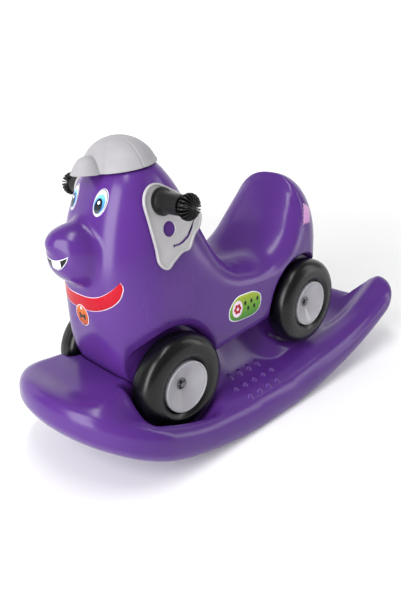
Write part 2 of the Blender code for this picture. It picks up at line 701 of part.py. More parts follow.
def nut_profile():
    """Section of a pressed push nut that grips the end of the axle."""
    bore = AXLE_RADIUS + TOUCH_GAP
    crown = 0.6 * NUT_RADIUS + 0.4 * bore
    return ((bore, NUT_THICKNESS), (crown, NUT_THICKNESS), (NUT_RADIUS, NUT_RIM_THICKNESS),
            (NUT_RADIUS, 0.0), (bore, 0.0))


def build_wheels(parts, rubber, hub_plastic, steel, spacer_plastic, body):
    """Four wheels, each a tyre on a hub that turns on a fixed axle."""
    for place, (y, z) in (("front", FRONT_WHEEL), ("rear", REAR_WHEEL)):
        axle = add_rod(place + "_axle", AXLE_RADIUS, -AXLE_END_X, AXLE_END_X, y, z, parts, steel, 20)
        axle.parent = body
        for side_name, side in (("left", 1.0), ("right", -1.0)):
            tail = "_" + place + "_" + side_name
            hub = add_turned("hub" + tail, hub_profile(), 24, parts, hub_plastic)
            lay_on_x(hub, side, HUB_BACK_X, y, z)
            hub.parent = body
            tyre = add_turned("tyre" + tail, tyre_profile(), 24, parts, rubber)
            lay_on_x(tyre, side, WHEEL_MID_X, y, z)
            tyre.parent = body
            spacer_start = WELL_WALL_X + TOUCH_GAP
            spacer_length = HUB_BACK_X - TOUCH_GAP - spacer_start
            spacer = add_tube("spacer" + tail, SPACER_RADIUS, AXLE_RADIUS + TOUCH_GAP, spacer_length,
                              parts, spacer_plastic, 14)
            lay_on_x(spacer, side, spacer_start, y, z)
            spacer.parent = body
            nut = add_turned("nut" + tail, nut_profile(), 12, parts, steel)
            lay_on_x(nut, side, HUB_FACE_X - DISH_DEPTH + TOUCH_GAP, y, z)
            nut.parent = body


def cap_form(name, inset, group):
    """Dome and brim as one closed form above the rim plane."""
    radii = [radius - inset for radius in CAP_RADII]
    dome = add_ball(name, (0.0, 0.0, 0.0), radii, group, 22, 12)
    brim_radii = [radius - inset for radius in BRIM_RADII]
    brim = add_ball(name + "_brim", (0.0, BRIM_CENTRE_Y - CAP_RIM_Y, 0.0), brim_radii, group, 18, 10)
    add_boolean(dome, brim, "UNION")
    return dome, brim


def build_cap(parts, cutters, plastic, body):
    """Thin domed cap with a front bill and a post that plugs into the head."""
    cap, brim = cap_form("cap", 0.0, parts)
    cutters.objects.link(brim)
    parts.objects.unlink(brim)
    brim.hide_render = True
    brim.display_type = "WIRE"
    cap.data.materials.append(plastic)
    cap.data.shade_smooth()
    cap.data.set_sharp_from_angle(angle=math.radians(40.0))
    hollow, hollow_brim = cap_form("cap_hollow", CAP_SKIN, cutters)
    half = 2.0 * CAP_RADII[1]
    below = add_box("cap_below", (-half, -half, -half), (half, half, 0.0), cutters)
    post_top = CAP_RADII[2] - 0.5 * CAP_SKIN
    post = add_turned("cap_post", ((0.0, post_top), (CAP_POST_RADIUS, post_top),
                                   (CAP_POST_RADIUS, -CAP_POST_REACH), (0.0, -CAP_POST_REACH)), 16, cutters)
    add_boolean(cap, hollow, "DIFFERENCE")
    add_boolean(cap, below, "DIFFERENCE")
    add_boolean(cap, post, "UNION")
    socket_radius = CAP_POST_RADIUS + BORE_CLEARANCE
    socket = add_turned("cap_socket", ((0.0, WALL), (socket_radius, WALL), (socket_radius, -CAP_SOCKET_DEPTH),
                                       (0.0, -CAP_SOCKET_DEPTH)), 16, cutters)
    add_boolean(body, socket, "DIFFERENCE")
    for item in (cap, brim, hollow, hollow_brim, below, post, socket):
        item.location = (0.0, CAP_RIM_Y, CAP_RIM_Z)
        item.rotation_euler = (math.atan(BELLY_SLOPE), 0.0, 0.0)
    cap.parent = body
    return cap


def inset_outline(outline, inset):
    """Move a closed outline inward along its normals."""
    points = np.array(outline)
    tangent = np.roll(points, -1, axis=0) - np.roll(points, 1, axis=0)
    tangent /= np.linalg.norm(tangent, axis=1, keepdims=True)
    normal = np.stack([-tangent[:, 1], tangent[:, 0]], axis=1)
    after = np.roll(points, -1, axis=0)
    area = np.sum(points[:, 0] * after[:, 1] - after[:, 0] * points[:, 1])
    return points + normal * inset * (1.0 if area > 0.0 else -1.0)


def slot_outline():
    """Closed outline round the slot's middle line."""
    line = np.array(SLOT_LINE)
    tangent = np.gradient(line[:, :2], axis=0)
    tangent /= np.linalg.norm(tangent, axis=1, keepdims=True)
    normal = np.stack([-tangent[:, 1], tangent[:, 0]], axis=1) * line[:, 2:]
    return np.concatenate([line[:, :2] + normal, (line[:, :2] - normal)[::-1]])


def add_flat(name, outline, thickness, group, material=None):
    """Thicken a smooth outline of (y, z) points; the curve's own Z becomes the world's X."""
    curve = bpy.data.curves.new(name, "CURVE")
    curve.dimensions = "2D"
    curve.fill_mode = "BOTH"
    curve.extrude = 0.5 * thickness
    curve.resolution_u = OUTLINE_STEPS
    spline = curve.splines.new("BEZIER")
    spline.bezier_points.add(len(outline) - 1)
    spline.use_cyclic_u = True
    for point, (y, z) in zip(spline.bezier_points, outline):
        point.co = (y, z, 0.0)
        point.handle_left_type = "AUTO"
        point.handle_right_type = "AUTO"
    guide = bpy.data.objects.new(name + "_curve", curve)
    group.objects.link(guide)
    guide.rotation_euler = (math.pi / 2.0, 0.0, math.pi / 2.0)
    bpy.context.view_layer.update()
    evaluated = guide.evaluated_get(bpy.context.evaluated_depsgraph_get())
    form = bmesh.new()
    form.from_mesh(bpy.data.meshes.new_from_object(evaluated))
    bmesh.ops.remove_doubles(form, verts=form.verts, dist=1e-5)
    solid = add_object(name, mesh_from_bmesh(name, form), group, material)
    solid.matrix_world = guide.matrix_world
    bpy.data.objects.remove(guide)
    return solid


def lay_on_plate(item, side, depth, place=(0.0, 0.0)):
    """Put a flat solid in the leaning plane of an ear plate, at a depth outward from its inner face."""
    y, z = place
    x = PLATE_X + depth * math.cos(PLATE_LEAN) - z * math.sin(PLATE_LEAN)
    item.location = (side * x, BAR_Y + y, BAR_Z + depth * math.sin(PLATE_LEAN) + z * math.cos(PLATE_LEAN))
    item.rotation_euler = (math.pi / 2.0 - side * PLATE_LEAN, 0.0, math.pi / 2.0)


def build_ear(side_name, side, parts, cutters, plastic, body):
    """Ear plate with a rim round its recessed panel, a round hole, a curved slot and the bar's hole."""
    name = "ear_plate_" + side_name
    plate = add_flat(name, PLATE_OUTLINE, PLATE_THICKNESS, parts, plastic)
    lay_on_plate(plate, side, 0.5 * PLATE_THICKNESS)
    through = 4.0 * PLATE_THICKNESS
    panel = add_flat(name + "_panel", inset_outline(PLATE_OUTLINE, PLATE_PANEL_INSET), through, cutters)
    lay_on_plate(panel, side, PLATE_THICKNESS - PLATE_RIM + 0.5 * through)
    slot = add_flat(name + "_slot", slot_outline(), through, cutters)
    lay_on_plate(slot, side, 0.0)
    holes = []
    for label, radius, place in (("_hole", PLATE_HOLE_RADIUS, PLATE_HOLE),
                                 ("_slot_start", SLOT_START_RADIUS, SLOT_START)):
        profile = ((0.0, through), (radius, through), (radius, -through), (0.0, -through))
        hole = add_turned(name + label, profile, 20, cutters)
        lay_on_plate(hole, side, 0.0, place)
        holes.append(hole)
    bore_radius = BAR_RADIUS / math.cos(PLATE_LEAN) + BORE_CLEARANCE + PLATE_THICKNESS * math.tan(PLATE_LEAN)
    low, high = sorted((side * (PLATE_X - through), side * (PLATE_X + through)))
    bore = add_rod(name + "_bore", bore_radius, low, high, BAR_Y, BAR_Z, cutters, segments=20)
    for cutter in (panel, slot, *holes, bore):
        add_boolean(plate, cutter, "DIFFERENCE")
    land = add_flat(name + "_land", inset_outline(PLATE_OUTLINE, -PLATE_RIM), 2.0 * through, cutters)
    lay_on_plate(land, side, through - TOUCH_GAP)
    add_boolean(body, land, "DIFFERENCE")
    plate.parent = body


def build_ears_and_bar(parts, cutters, plate_plastic, grip_rubber, steel, body):
    """Ear plates, the handlebar through the head and a grip on each end."""
    bar = add_rod("handlebar", BAR_RADIUS, -BAR_HALF_LENGTH, BAR_HALF_LENGTH, BAR_Y, BAR_Z, parts, steel, 24)
    bar.parent = body
    for side_name, side in (("left", 1.0), ("right", -1.0)):
        build_ear(side_name, side, parts, cutters, plate_plastic, body)
        grip = build_grip("grip_" + side_name, side, parts, grip_rubber)
        grip.parent = body


def build_grip(name, side, parts, rubber):
    """Soft grip with a flange, a handle and a finned knob, bored for the bar."""
    plate_face = PLATE_X + PLATE_THICKNESS / math.cos(PLATE_LEAN)
    start = plate_face + FLANGE_RADIUS * math.tan(PLATE_LEAN) + TOUCH_GAP
    length = GRIP_END_X - start
    bore = BAR_RADIUS + TOUCH_GAP
    bore_end = BAR_HALF_LENGTH - start + TOUCH_GAP
    points = 2 * FIN_COUNT
    angle = np.arange(points) * 2.0 * math.pi / points
    fin = (np.arange(points) % 2).astype(float)
    knob_start = length - KNOB_LENGTH
    stations = [(0.0, FLANGE_RADIUS, 0.0), (FLANGE_THICKNESS, FLANGE_RADIUS, 0.0),
                (FLANGE_THICKNESS + 0.001, GRIP_RADIUS, 0.0), (knob_start, GRIP_RADIUS, 0.0)]
    for fraction in (0.10, 0.30, 0.60, 0.85, 0.96):
        radius = KNOB_RADIUS * math.sqrt(max(1.0 - (2.0 * fraction - 1.0) ** 2 * 0.72, 0.05))
        stations.append((knob_start + fraction * KNOB_LENGTH, radius, 1.0))
    stations.append((length, KNOB_END_RADIUS, 0.3))
    stations = [(bore_end, 0.3 * bore, 0.0), (bore_end, bore, 0.0), (0.0, bore, 0.0)] + stations
    rings = []
    for height, radius, depth in stations:
        reach = radius - depth * FIN_DEPTH * fin
        level = np.full(points, height)
        rings.append(np.stack([reach * np.cos(angle), reach * np.sin(angle), level], axis=1))
    grip = add_object(name, loft_mesh(name, rings), parts, rubber, 30.0)
    lay_on_x(grip, side, start, BAR_Y, BAR_Z)
    return grip


def build_plug(parts, plastic, base):
    """Vent plug pressed into the rocker's underside."""
    end = WALL + PLUG_REACH
    stem = VENT_RADIUS - TOUCH_GAP
    head = -TOUCH_GAP - PLUG_HEAD_THICKNESS
    chamfer = 0.6 * PLUG_HEAD_THICKNESS
    profile = ((0.0, end), (stem, end), (stem, -TOUCH_GAP), (PLUG_HEAD_RADIUS, -TOUCH_GAP),
               (PLUG_HEAD_RADIUS - chamfer, head), (0.0, head))
    plug = add_turned("vent_plug", profile, 16, parts, plastic)
    place_on_arc(plug, VENT_Y)
    plug.parent = base


def main():
    """Build the whole toy."""
    clear_scene()
    parts = make_collection(COLLECTION)
    cutters = make_collection(CUTTERS)
    purple = make_material("purple_hdpe", (0.105, 0.040, 0.300), 0.28)
    deep_purple = make_material("purple_hdpe_rocker", (0.105, 0.040, 0.300), 0.28)
    black = make_material("black_pe", (0.012, 0.012, 0.013), 0.35)
    grip_black = make_material("black_pvc", (0.010, 0.010, 0.010), 0.50)
    grey = make_material("grey_abs", (0.520, 0.510, 0.530), 0.35)
    hub_grey = make_material("hub_pp", (0.420, 0.410, 0.430), 0.35)
    natural = make_material("natural_pp", (0.600, 0.590, 0.560), 0.45)
    steel = make_material("zinc_steel", (0.450, 0.450, 0.460), 0.35, 1.0)
    base = build_rocker(parts, cutters, deep_purple)
    body = build_body(parts, cutters, purple)
    build_wheels(parts, black, hub_grey, steel, natural, body)
    build_cap(parts, cutters, grey, body)
    build_ears_and_bar(parts, cutters, grey, grip_black, steel, body)
    build_plug(parts, black, base)
    body.parent = base


main()
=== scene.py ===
# %% [markdown]
# # A rocking dog, dressed for its portrait
# The toy is a wheeled ride-on dog that sits in a separate blow-moulded rocker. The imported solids
# give every size and place, and this lesson lays fine surfaces and real finishes over them.
# X points to the dog's left, the dog looks along -Y, Z is up, and everything is in metres.

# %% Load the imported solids
import math

import bmesh
import bpy
import numpy as np
from mathutils import Matrix, Vector


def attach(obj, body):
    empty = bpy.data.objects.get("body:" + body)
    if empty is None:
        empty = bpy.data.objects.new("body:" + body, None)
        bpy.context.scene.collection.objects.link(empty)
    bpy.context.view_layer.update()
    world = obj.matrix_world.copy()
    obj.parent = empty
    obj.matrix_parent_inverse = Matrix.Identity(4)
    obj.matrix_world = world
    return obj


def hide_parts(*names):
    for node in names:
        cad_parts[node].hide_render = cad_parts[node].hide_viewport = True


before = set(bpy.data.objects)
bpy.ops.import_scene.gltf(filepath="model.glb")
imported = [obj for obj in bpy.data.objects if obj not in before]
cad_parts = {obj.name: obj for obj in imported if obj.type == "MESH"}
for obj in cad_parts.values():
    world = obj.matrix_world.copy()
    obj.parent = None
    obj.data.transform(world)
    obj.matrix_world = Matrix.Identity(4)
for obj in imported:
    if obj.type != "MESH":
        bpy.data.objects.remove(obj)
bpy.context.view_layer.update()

# %% [markdown]
# ## Small tools
# Two forms that meet in a blow mould never meet in a knife edge, so a soft minimum and a soft
# maximum join them with a fillet of a chosen width. Heights ease from one value to the next, and
# grooves and swellings are bells. A colour is given as the eye sees it, and one function turns it
# into the linear light that a shader works in.

# %% Easing, soft joins and colours
def eased(value, start=0.0, length=1.0):
    """Ease from 0 to 1 over a length from a start: three t squared less two t cubed."""
    t = np.clip((value - start) / length, 0.0, 1.0)
    return t * t * (3.0 - 2.0 * t)


def bell(value, centre, half, power=2):
    """1 at the centre, falling as e to minus the power of the distance over the half width."""
    return np.exp(-((value - centre) / half) ** power)


def soft_min(a, b, width):
    """The smaller of a and b, lowered by a parabola where they differ by less than the width."""
    near = np.clip(width - np.abs(a - b), 0.0, None)
    return np.minimum(a, b) - near * near / (4.0 * width)


def soft_max(a, b, width):
    """The larger of a and b, raised the same way."""
    return -soft_min(-a, -b, width)


def linear(code):
    """An sRGB hex code as linear light: each channel over 255, then the sRGB curve undone."""
    channel = np.array([int(code[i:i + 2], 16) for i in (1, 3, 5)]) / 255.0
    light = np.where(channel <= 0.04045, channel / 12.92, ((channel + 0.055) / 1.055) ** 2.4)
    return (*light.tolist(), 1.0)


print("purple in linear light", [round(c, 3) for c in linear("#4c2676")])

# %% [markdown]
# ## From a formula to a skin
# The dog and the rocker are single blown shells whose wells, pockets and muzzle melt into each
# other. No one sheet of two parameters covers such a shape without folds, so each shell is
# written as a distance that is negative inside, and its skin is laid where the distance is zero:
# one point in each small cube that the surface crosses, then a few steps down the slope so that
# every point lies on the formula itself. The slope is also the exact shading direction.

# %% Lay a skin on a distance
def slope_of(field, x, y, z, step=0.0004):
    """Slope of a field by central differences along the three axes."""
    return (np.stack([field(x + step, y, z) - field(x - step, y, z),
                      field(x, y + step, z) - field(x, y - step, z),
                      field(x, y, z + step) - field(x, y, z - step)]) / (2.0 * step))


def as_distance(form):
    """Turn a smooth inside-outside formula into a near distance: its value over its steepness."""
    def field(x, y, z):
        steep = np.sqrt((slope_of(form, x, y, z) ** 2).sum(axis=0))
        return form(x, y, z) / np.maximum(steep, 1.0)
    return field


def skin_points(value, low, cell):
    """Zero level of a grid of values: a point is the mean of the places where its cell's edges
    cross zero, and a quad joins the four cells round a crossed edge."""
    inside = value < 0.0
    size = np.array(value.shape) - 1
    unit = np.eye(3, dtype=int)
    corners = [(i, j, k) for i in (0, 1) for j in (0, 1) for k in (0, 1)]
    count = sum(inside[i:size[0] + i, j:size[1] + j, k:size[2] + k].astype(np.int8)
                for i, j, k in corners)
    cells = np.argwhere((count > 0) & (count < len(corners)))
    number = np.full(size, -1, dtype=np.int64)
    number[tuple(cells.T)] = np.arange(len(cells))
    total, hits = np.zeros((len(cells), 3)), np.zeros(len(cells))
    for corner in corners:
        for axis in range(3):
            if corner[axis] == 0:
                here = value[tuple((cells + corner).T)]
                there = value[tuple((cells + corner + unit[axis]).T)]
                crossing = (here < 0.0) != (there < 0.0)
                share = np.where(crossing, here / np.where(crossing, here - there, 1.0), 0.0)
                spot = np.array(corner) + share[:, None] * unit[axis]
                total += np.where(crossing[:, None], spot, 0.0)
                hits += crossing
    points = np.array(low) + cell * (cells + total / hits[:, None])
    quads = []
    for axis in range(3):
        u, v = (axis + 1) % 3, (axis + 2) % 3
        first = inside.take(range(size[axis]), axis=axis)
        second = inside.take(range(1, size[axis] + 1), axis=axis)
        where = np.argwhere(first != second)
        across = where[:, [u, v]]
        where = where[((across > 0) & (across < size[[u, v]])).all(axis=1)]
        ring = [where - unit[u] - unit[v], where - unit[v], where, where - unit[u]]
        quad = np.stack([number[tuple(place.T)] for place in ring], axis=1)
        leaving = inside[tuple(where.T)]
        quads.append(np.where(leaving[:, None], quad, quad[:, ::-1]))
    return points, np.concatenate(quads)


# %% [markdown]
# The arrays go into a mesh in one call each. The points are then settled on the formula, and the
# slope there is handed over as the shading direction, because the faces' own would show the cells.

# %% From arrays to a mesh
def mesh_from(name, points, quads, normal=None):
    """Put points and quads in a mesh, smooth shaded, with their own shading directions if given."""
    mesh = bpy.data.meshes.new(name)
    mesh.vertices.add(len(points))
    mesh.vertices.foreach_set("co", np.ascontiguousarray(points, dtype=np.float32).ravel())
    mesh.loops.add(quads.size)
    mesh.loops.foreach_set("vertex_index", np.ascontiguousarray(quads, dtype=np.int32).ravel())
    mesh.polygons.add(len(quads))
    mesh.polygons.foreach_set("loop_start", np.arange(len(quads), dtype=np.int32) * 4)
    mesh.update(calc_edges=True)
    mesh.validate()
    mesh.shade_smooth()
    if normal is not None:
        mesh.normals_split_custom_set_from_vertices(normal.tolist())
    print(name, len(mesh.vertices), "points", len(mesh.polygons), "faces")
    return mesh


def skin_mesh(name, field, low, high, cell, mirrored=True):
    """Mesh of a field's zero level; a field that is even in X is worked out on one side only."""
    axes = [np.arange(int(round((high[k] - low[k]) / cell)) + 1) * cell + low[k] for k in range(3)]
    if mirrored:
        axes[0] = np.arange(int(math.ceil(high[0] / cell)) + 1) * cell
        low = (-axes[0][-1], low[1], low[2])
    value = field(*np.meshgrid(*axes, indexing="ij", sparse=True))
    if mirrored:
        value = np.concatenate([value[:0:-1], value])
    points, quads = skin_points(value, low, cell)
    for _ in range(3):
        slope = slope_of(field, *points.T)
        move = slope * field(*points.T) / np.maximum((slope ** 2).sum(axis=0), 0.25)
        points = points - np.clip(move, -0.5 * cell, 0.5 * cell).T
    slope = slope_of(field, *points.T)
    normal = (slope / np.sqrt((slope ** 2).sum(axis=0))).T
    return mesh_from(name, points, quads, normal)


def placed(name, data):
    """An object for a mesh, a camera or a lamp, linked to the scene."""
    item = bpy.data.objects.new(name, data)
    bpy.context.scene.collection.objects.link(item)
    return item


def show(name, mesh, body, material, *nodes):
    """Make a mesh a piece that rides on a body, wears a material and stands for its solids."""
    piece = placed(name, mesh)
    mesh.materials.append(material)
    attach(piece, body)
    if nodes:
        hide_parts(*nodes)
    return piece


# %% [markdown]
# ## Sheets of two parameters
# Turned and drawn pieces, such as tyres, hubs and labels, are grids: one direction follows the
# profile, the other goes round or across. A grid that closes on itself shares its last row with
# its first, and a row whose points all meet is a pole.

# %% A grid as a mesh
def grid_quads(number):
    """The quads between neighbours in a grid of point numbers, or in each of a stack of grids."""
    return np.stack([number[..., :-1, :-1], number[..., 1:, :-1], number[..., 1:, 1:],
                     number[..., :-1, 1:]], axis=-1).reshape(-1, 4)


def grid_mesh(name, points, wrap_u=False, wrap_v=False):
    """Mesh of an array of points (rows, columns, 3), closed along either direction."""
    number = np.arange(points[..., 0].size).reshape(points.shape[:2])
    if wrap_u:
        number = np.concatenate([number, number[:1]])
    if wrap_v:
        number = np.concatenate([number, number[:, :1]], axis=1)
    mesh = mesh_from(name, points.reshape(-1, 3), grid_quads(number))
    form = bmesh.new()
    form.from_mesh(mesh)
    bmesh.ops.remove_doubles(form, verts=form.verts, dist=0.00001)
    bmesh.ops.recalc_face_normals(form, faces=form.faces)
    form.to_mesh(mesh)
    form.free()
    mesh.shade_smooth()
    return mesh


def turned(name, radius, along, steps, side, place, sharp):
    """Turn a closed profile about an axis along X: Y and Z are the radius times the cosine and
    the sine of the angle. A bend of more than the sharp angle in degrees stays crisp."""
    angle = np.linspace(0.0, 2.0 * math.pi, steps, endpoint=False)
    points = np.stack([side * (place[0] + along + 0.0 * angle), place[1] + radius * np.cos(angle),
                       place[2] + radius * np.sin(angle)], axis=-1)
    mesh = grid_mesh(name, points, wrap_u=True, wrap_v=True)
    mesh.set_sharp_from_angle(angle=math.radians(sharp))
    return mesh


# %% [markdown]
# ## Finishes
# Every piece of the toy is moulded plastic or plated steel. One small function adds a node with
# its settings and its links, and each finish is a short recipe of such nodes. The patterns read
# Object coordinates in metres, so a grain of 1.5 mm is a noise scale of about 1 / 0.0015.

# %% One way to add a node
def add(tree, kind, links=None, **settings):
    """Add a shader node, give it its settings, and set or link its inputs by name or number."""
    node = tree.nodes.new("ShaderNode" + kind)
    for name, value in settings.items():
        setattr(node, name, value)
    for name, source in (links or {}).items():
        if isinstance(source, bpy.types.NodeSocket):
            tree.links.new(source, node.inputs[name])
        else:
            node.inputs[name].default_value = source
    return node


def new_finish(name, **constants):
    """A material, its Principled shader and the place on the piece that its patterns read. What
    is the same all over is set on the shader's own sockets."""
    material = bpy.data.materials.new(name)
    material.use_nodes = True
    tree = material.node_tree
    shader = tree.nodes["Principled BSDF"]
    for socket, value in constants.items():
        shader.inputs[socket.replace("_", " ")].default_value = value
    return material, tree, shader, add(tree, "TexCoord").outputs["Object"]


def cloudy_colour(tree, shader, where, dark, light, scale):
    """Let the pigment drift between two near shades in soft clouds."""
    cloud = add(tree, "TexNoise", {"Vector": where, "Scale": scale, "Detail": 1.5})
    ramp = add(tree, "ValToRGB", {"Fac": cloud.outputs["Fac"]})
    ramp.color_ramp.interpolation = "EASE"
    for stop, share, shade in zip(ramp.color_ramp.elements, (0.25, 0.75), (dark, light)):
        stop.position, stop.color = share, linear(shade)
    tree.links.new(ramp.outputs["Color"], shader.inputs["Base Color"])


def drifting_gloss(tree, shader, where, low, high, scale):
    """Let the roughness drift between two values."""
    cloud = add(tree, "TexNoise", {"Vector": where, "Scale": scale, "Detail": 1.5})
    spread = add(tree, "MapRange", {"Value": cloud.outputs["Fac"], "From Min": 0.2,
                                    "From Max": 0.8, "To Min": low, "To Max": high},
                 interpolation_type="SMOOTHSTEP")
    tree.links.new(spread.outputs["Result"], shader.inputs["Roughness"])
    return spread


def bumped(tree, shader, layers):
    """Stack bumps: each layer is a height socket, a distance in metres and a strength."""
    last = None
    for height, distance, strength in layers:
        links = {"Height": height, "Distance": distance, "Strength": strength}
        if last is not None:
            links["Normal"] = last
        last = add(tree, "Bump", links).outputs["Normal"]
    tree.links.new(last, shader.inputs["Normal"])


print("node tools ready")

# %% [markdown]
# ## The rocker's form
# The rocker is one hollow blow moulding: a broad tongue in front, two horns behind, a deck with a
# raised bed for the dog and four pockets for its wheels. Its underside is one arc of 0.88 m with a
# short flat where it stands. The deck and the arc are heights over the plan, and the edge between
# them is a quarter of a superellipse above its widest line and of an ellipse below it.

# %% Sizes of the rocker
ARC_RADIUS, ARC_LOW_Y, FLAT_LENGTH = 0.8816, -0.021, 0.112
FLAT_DROP = ARC_RADIUS - math.sqrt(ARC_RADIUS ** 2 - 0.25 * FLAT_LENGTH ** 2)
HALF_WIDTH = 0.17898  # 0.02 mm inside the solids' box
TONGUE_TIP_Y, TONGUE_LENGTH, SPINE_REAR_Y, HORN_END_Y = -0.446, 0.152, 0.200, 0.446
NOTCH_DEPTH, NOTCH_HALF_WIDTH, NOTCH_EASE, CORNER_RADIUS = 0.053, 0.076, 0.034, 0.060
EDGE_WIDTH, EDGE_POWER = 0.046, 2.5
BELLY_Z = 0.165  # the dog's belly over the middle, and the rocker's bed under it
STUD_MID_Y = -0.044  # middle of the footrest
SIDES = (("left", 1.0), ("right", -1.0))
FRONT_WHEEL, REAR_WHEEL = (-0.2311, 0.1430), (0.1246, 0.1905)  # axles, (y, z)
TYRE_RADIUS, TYRE_HALF_WIDTH, WHEEL_MID_X = 0.0909, 0.0270, 0.1095


def arc_height(y):
    """Height of the rolling arc over the floor: a circle with its lowest 112 mm cut flat."""
    under = ARC_RADIUS ** 2 - (y - ARC_LOW_Y) ** 2
    return np.maximum(ARC_RADIUS - FLAT_DROP - np.sqrt(np.maximum(under, 0.01)), 0.0)


def deck_height(x, y):
    """Deck over the plan: the arc plus a thickness that changes along the rocker, a fall to each
    side, two horns, and the dog's bed, which slides down beside the studs; less a shallow dip
    beside the front wheels."""
    out = np.abs(x)
    front, rear = eased(-y, 0.171, 0.200), eased(y, 0.099, 0.230)
    thickness = 0.080 - 0.001 * front - 0.047 * rear
    horn = 0.017 * rear * eased(out, 0.090, 0.035)
    fall = 0.28 * (0.111 - np.clip(out, 0.060, 0.160)) * (1.0 - rear) * (1.0 - front)
    side = arc_height(y) + thickness + horn + fall
    recess = 0.014 * bell(y, STUD_MID_Y, 0.075, 4) - 0.024 * eased(-y, 0.245, 0.050)
    across = 1.0 - eased(out + recess, 0.064, 0.050)
    slide = (1.0 - np.clip((out - 0.048) / 0.075, 0.0, 1.0)) ** 3
    across = across + (slide - across) * bell(y, STUD_MID_Y, 0.085, 4)
    ahead = np.sqrt(1.0 - (1.0 - np.clip((y - TONGUE_TIP_Y) / 0.100, 0.0, 1.0)) ** 2)
    behind = 1.0 - eased(y, 0.109, 0.150)
    bed = soft_max(BELLY_Z - side, 0.0, 0.010) * across * ahead * behind
    dip = 0.005 * bell(y, -0.255, 0.110) * eased(out, 0.085, 0.080)
    return side + bed - dip


def widest_height(low, high):
    """Height of the edge's widest line: 36 % of the way up, with 80 mm of thickness at most."""
    return low + 0.36 * (np.minimum(high, low + 0.080) - low)


# %% [markdown]
# The plan is a polar curve about a spine on the mirror plane: an ellipse round the spine's front
# end, straight flanks, and the two horns with the notch between them round its rear end. The
# distance to that curve along a ray from the spine is all that the edge's rounding needs.

# %% The rocker as a distance
turn = np.linspace(0.0, math.pi / 2.0, 60)
horn_x = HALF_WIDTH - CORNER_RADIUS * (1.0 - np.cos(turn))
horn_y = HORN_END_Y - CORNER_RADIUS + CORNER_RADIUS * np.sin(turn)
back_x = np.linspace(HALF_WIDTH - CORNER_RADIUS, 0.0, 160)[1:]
back_y = HORN_END_Y - NOTCH_DEPTH * eased(NOTCH_HALF_WIDTH - back_x, -NOTCH_EASE, NOTCH_EASE)
flank_y = np.linspace(SPINE_REAR_Y, horn_y[0], 60)[:-1]
edge_x = np.concatenate([np.full(len(flank_y), HALF_WIDTH), horn_x, back_x])
edge_y = np.concatenate([flank_y, horn_y, back_y])
REAR_ANGLE = np.arctan2(edge_y - SPINE_REAR_Y, edge_x)
REAR_REACH = np.hypot(edge_x, edge_y - SPINE_REAR_Y)


def plan_margin(x, y):
    """How far a point of the plan lies inside the outline, along the ray from the spine."""
    out, along = np.abs(x), y - np.clip(y, TONGUE_TIP_Y + TONGUE_LENGTH, SPINE_REAR_Y)
    radius = np.hypot(out, along)
    unit_x, unit_y = out / np.maximum(radius, 1e-6), along / np.maximum(radius, 1e-6)
    square = (unit_x / HALF_WIDTH) ** 2 + (unit_y / TONGUE_LENGTH) ** 2
    oval = 1.0 / np.sqrt(np.maximum(square, 1e-12))
    behind = np.interp(np.arctan2(along, out), REAR_ANGLE, REAR_REACH)
    return np.where(along < 0.0, oval, np.where(along > 0.0, behind, HALF_WIDTH)) - radius


def rocker_form(x, y, z):
    """Below the deck, above the arc, and rounded to the outline round the widest line."""
    margin, low, high = plan_margin(x, y), arc_height(y), deck_height(x, y)
    middle = widest_height(low, high)
    under_radius = 0.013 + 0.027 * eased(-y, 0.256, 0.150)
    top = (np.clip(1.0 - margin / EDGE_WIDTH, 0.0, None) ** EDGE_POWER
           + (np.clip(z - middle, 0.0, None) / (high - middle)) ** EDGE_POWER)
    under = np.hypot(np.clip(1.0 - margin / under_radius, 0.0, None),
                     np.clip(middle - z, 0.0, None) / np.maximum(middle - low, 1e-4))
    return np.where(z >= middle, (top ** (1.0 / EDGE_POWER) - 1.0) * EDGE_WIDTH,
                    (under - 1.0) * under_radius)


def drum(x, y, z, centre, radius, near, far, ease):
    """Distance to a round drum about an axis along X, on both sides, with eased rims."""
    reach = np.hypot(y - centre[0], z - centre[1]) - radius
    across = np.abs(np.abs(x) - 0.5 * (near + far)) - 0.5 * (far - near)
    return soft_max(reach, across, ease)


rocker_distance = as_distance(rocker_form)
print("deck beside the studs", float(deck_height(0.12, -0.04)))

# %% [markdown]
# ## The dog's form
# The dog is a second blow moulding. Its sections across the body are superellipses: rounder over
# the back, nearly square below, closing at the chest and the rump. The muzzle, its bridge and the
# nose are melted into it. The wheel wells are taken out of it with slightly widened mouths, each
# front one in a shallow recess, and the top of the head is cut to seat the cap.

# %% Back, trunk and snout
CROWN = np.array([(-0.242, 0.528), (-0.211, 0.523), (-0.182, 0.497), (-0.151, 0.443),
                  (-0.111, 0.366), (-0.072, 0.322), (-0.034, 0.306), (0.006, 0.303),
                  (0.041, 0.314), (0.076, 0.349), (0.104, 0.392), (0.127, 0.427),
                  (0.142, 0.4465)])
CROWN_SLOPE = np.gradient(CROWN[:, 1], CROWN[:, 0])
CROWN_SLOPE[[0, -1]] = 0.0
HEAD_Y, WIDEST_Y, RUMP_Y = -0.242, -0.0555, 0.141
CHEST_LENGTH, RUMP_LENGTH = 0.100, 0.090
TILT = math.radians(7.5)  # the belly and the cap's seat both rise towards the tail
SLOPE, TILT_COS, TILT_SIN = math.tan(TILT), math.cos(TILT), math.sin(TILT)
CUT_SCALE = 0.9915  # near the tilt's cosine: makes a tilted plane's height a distance
HEAD_TOP_Z = 0.5044


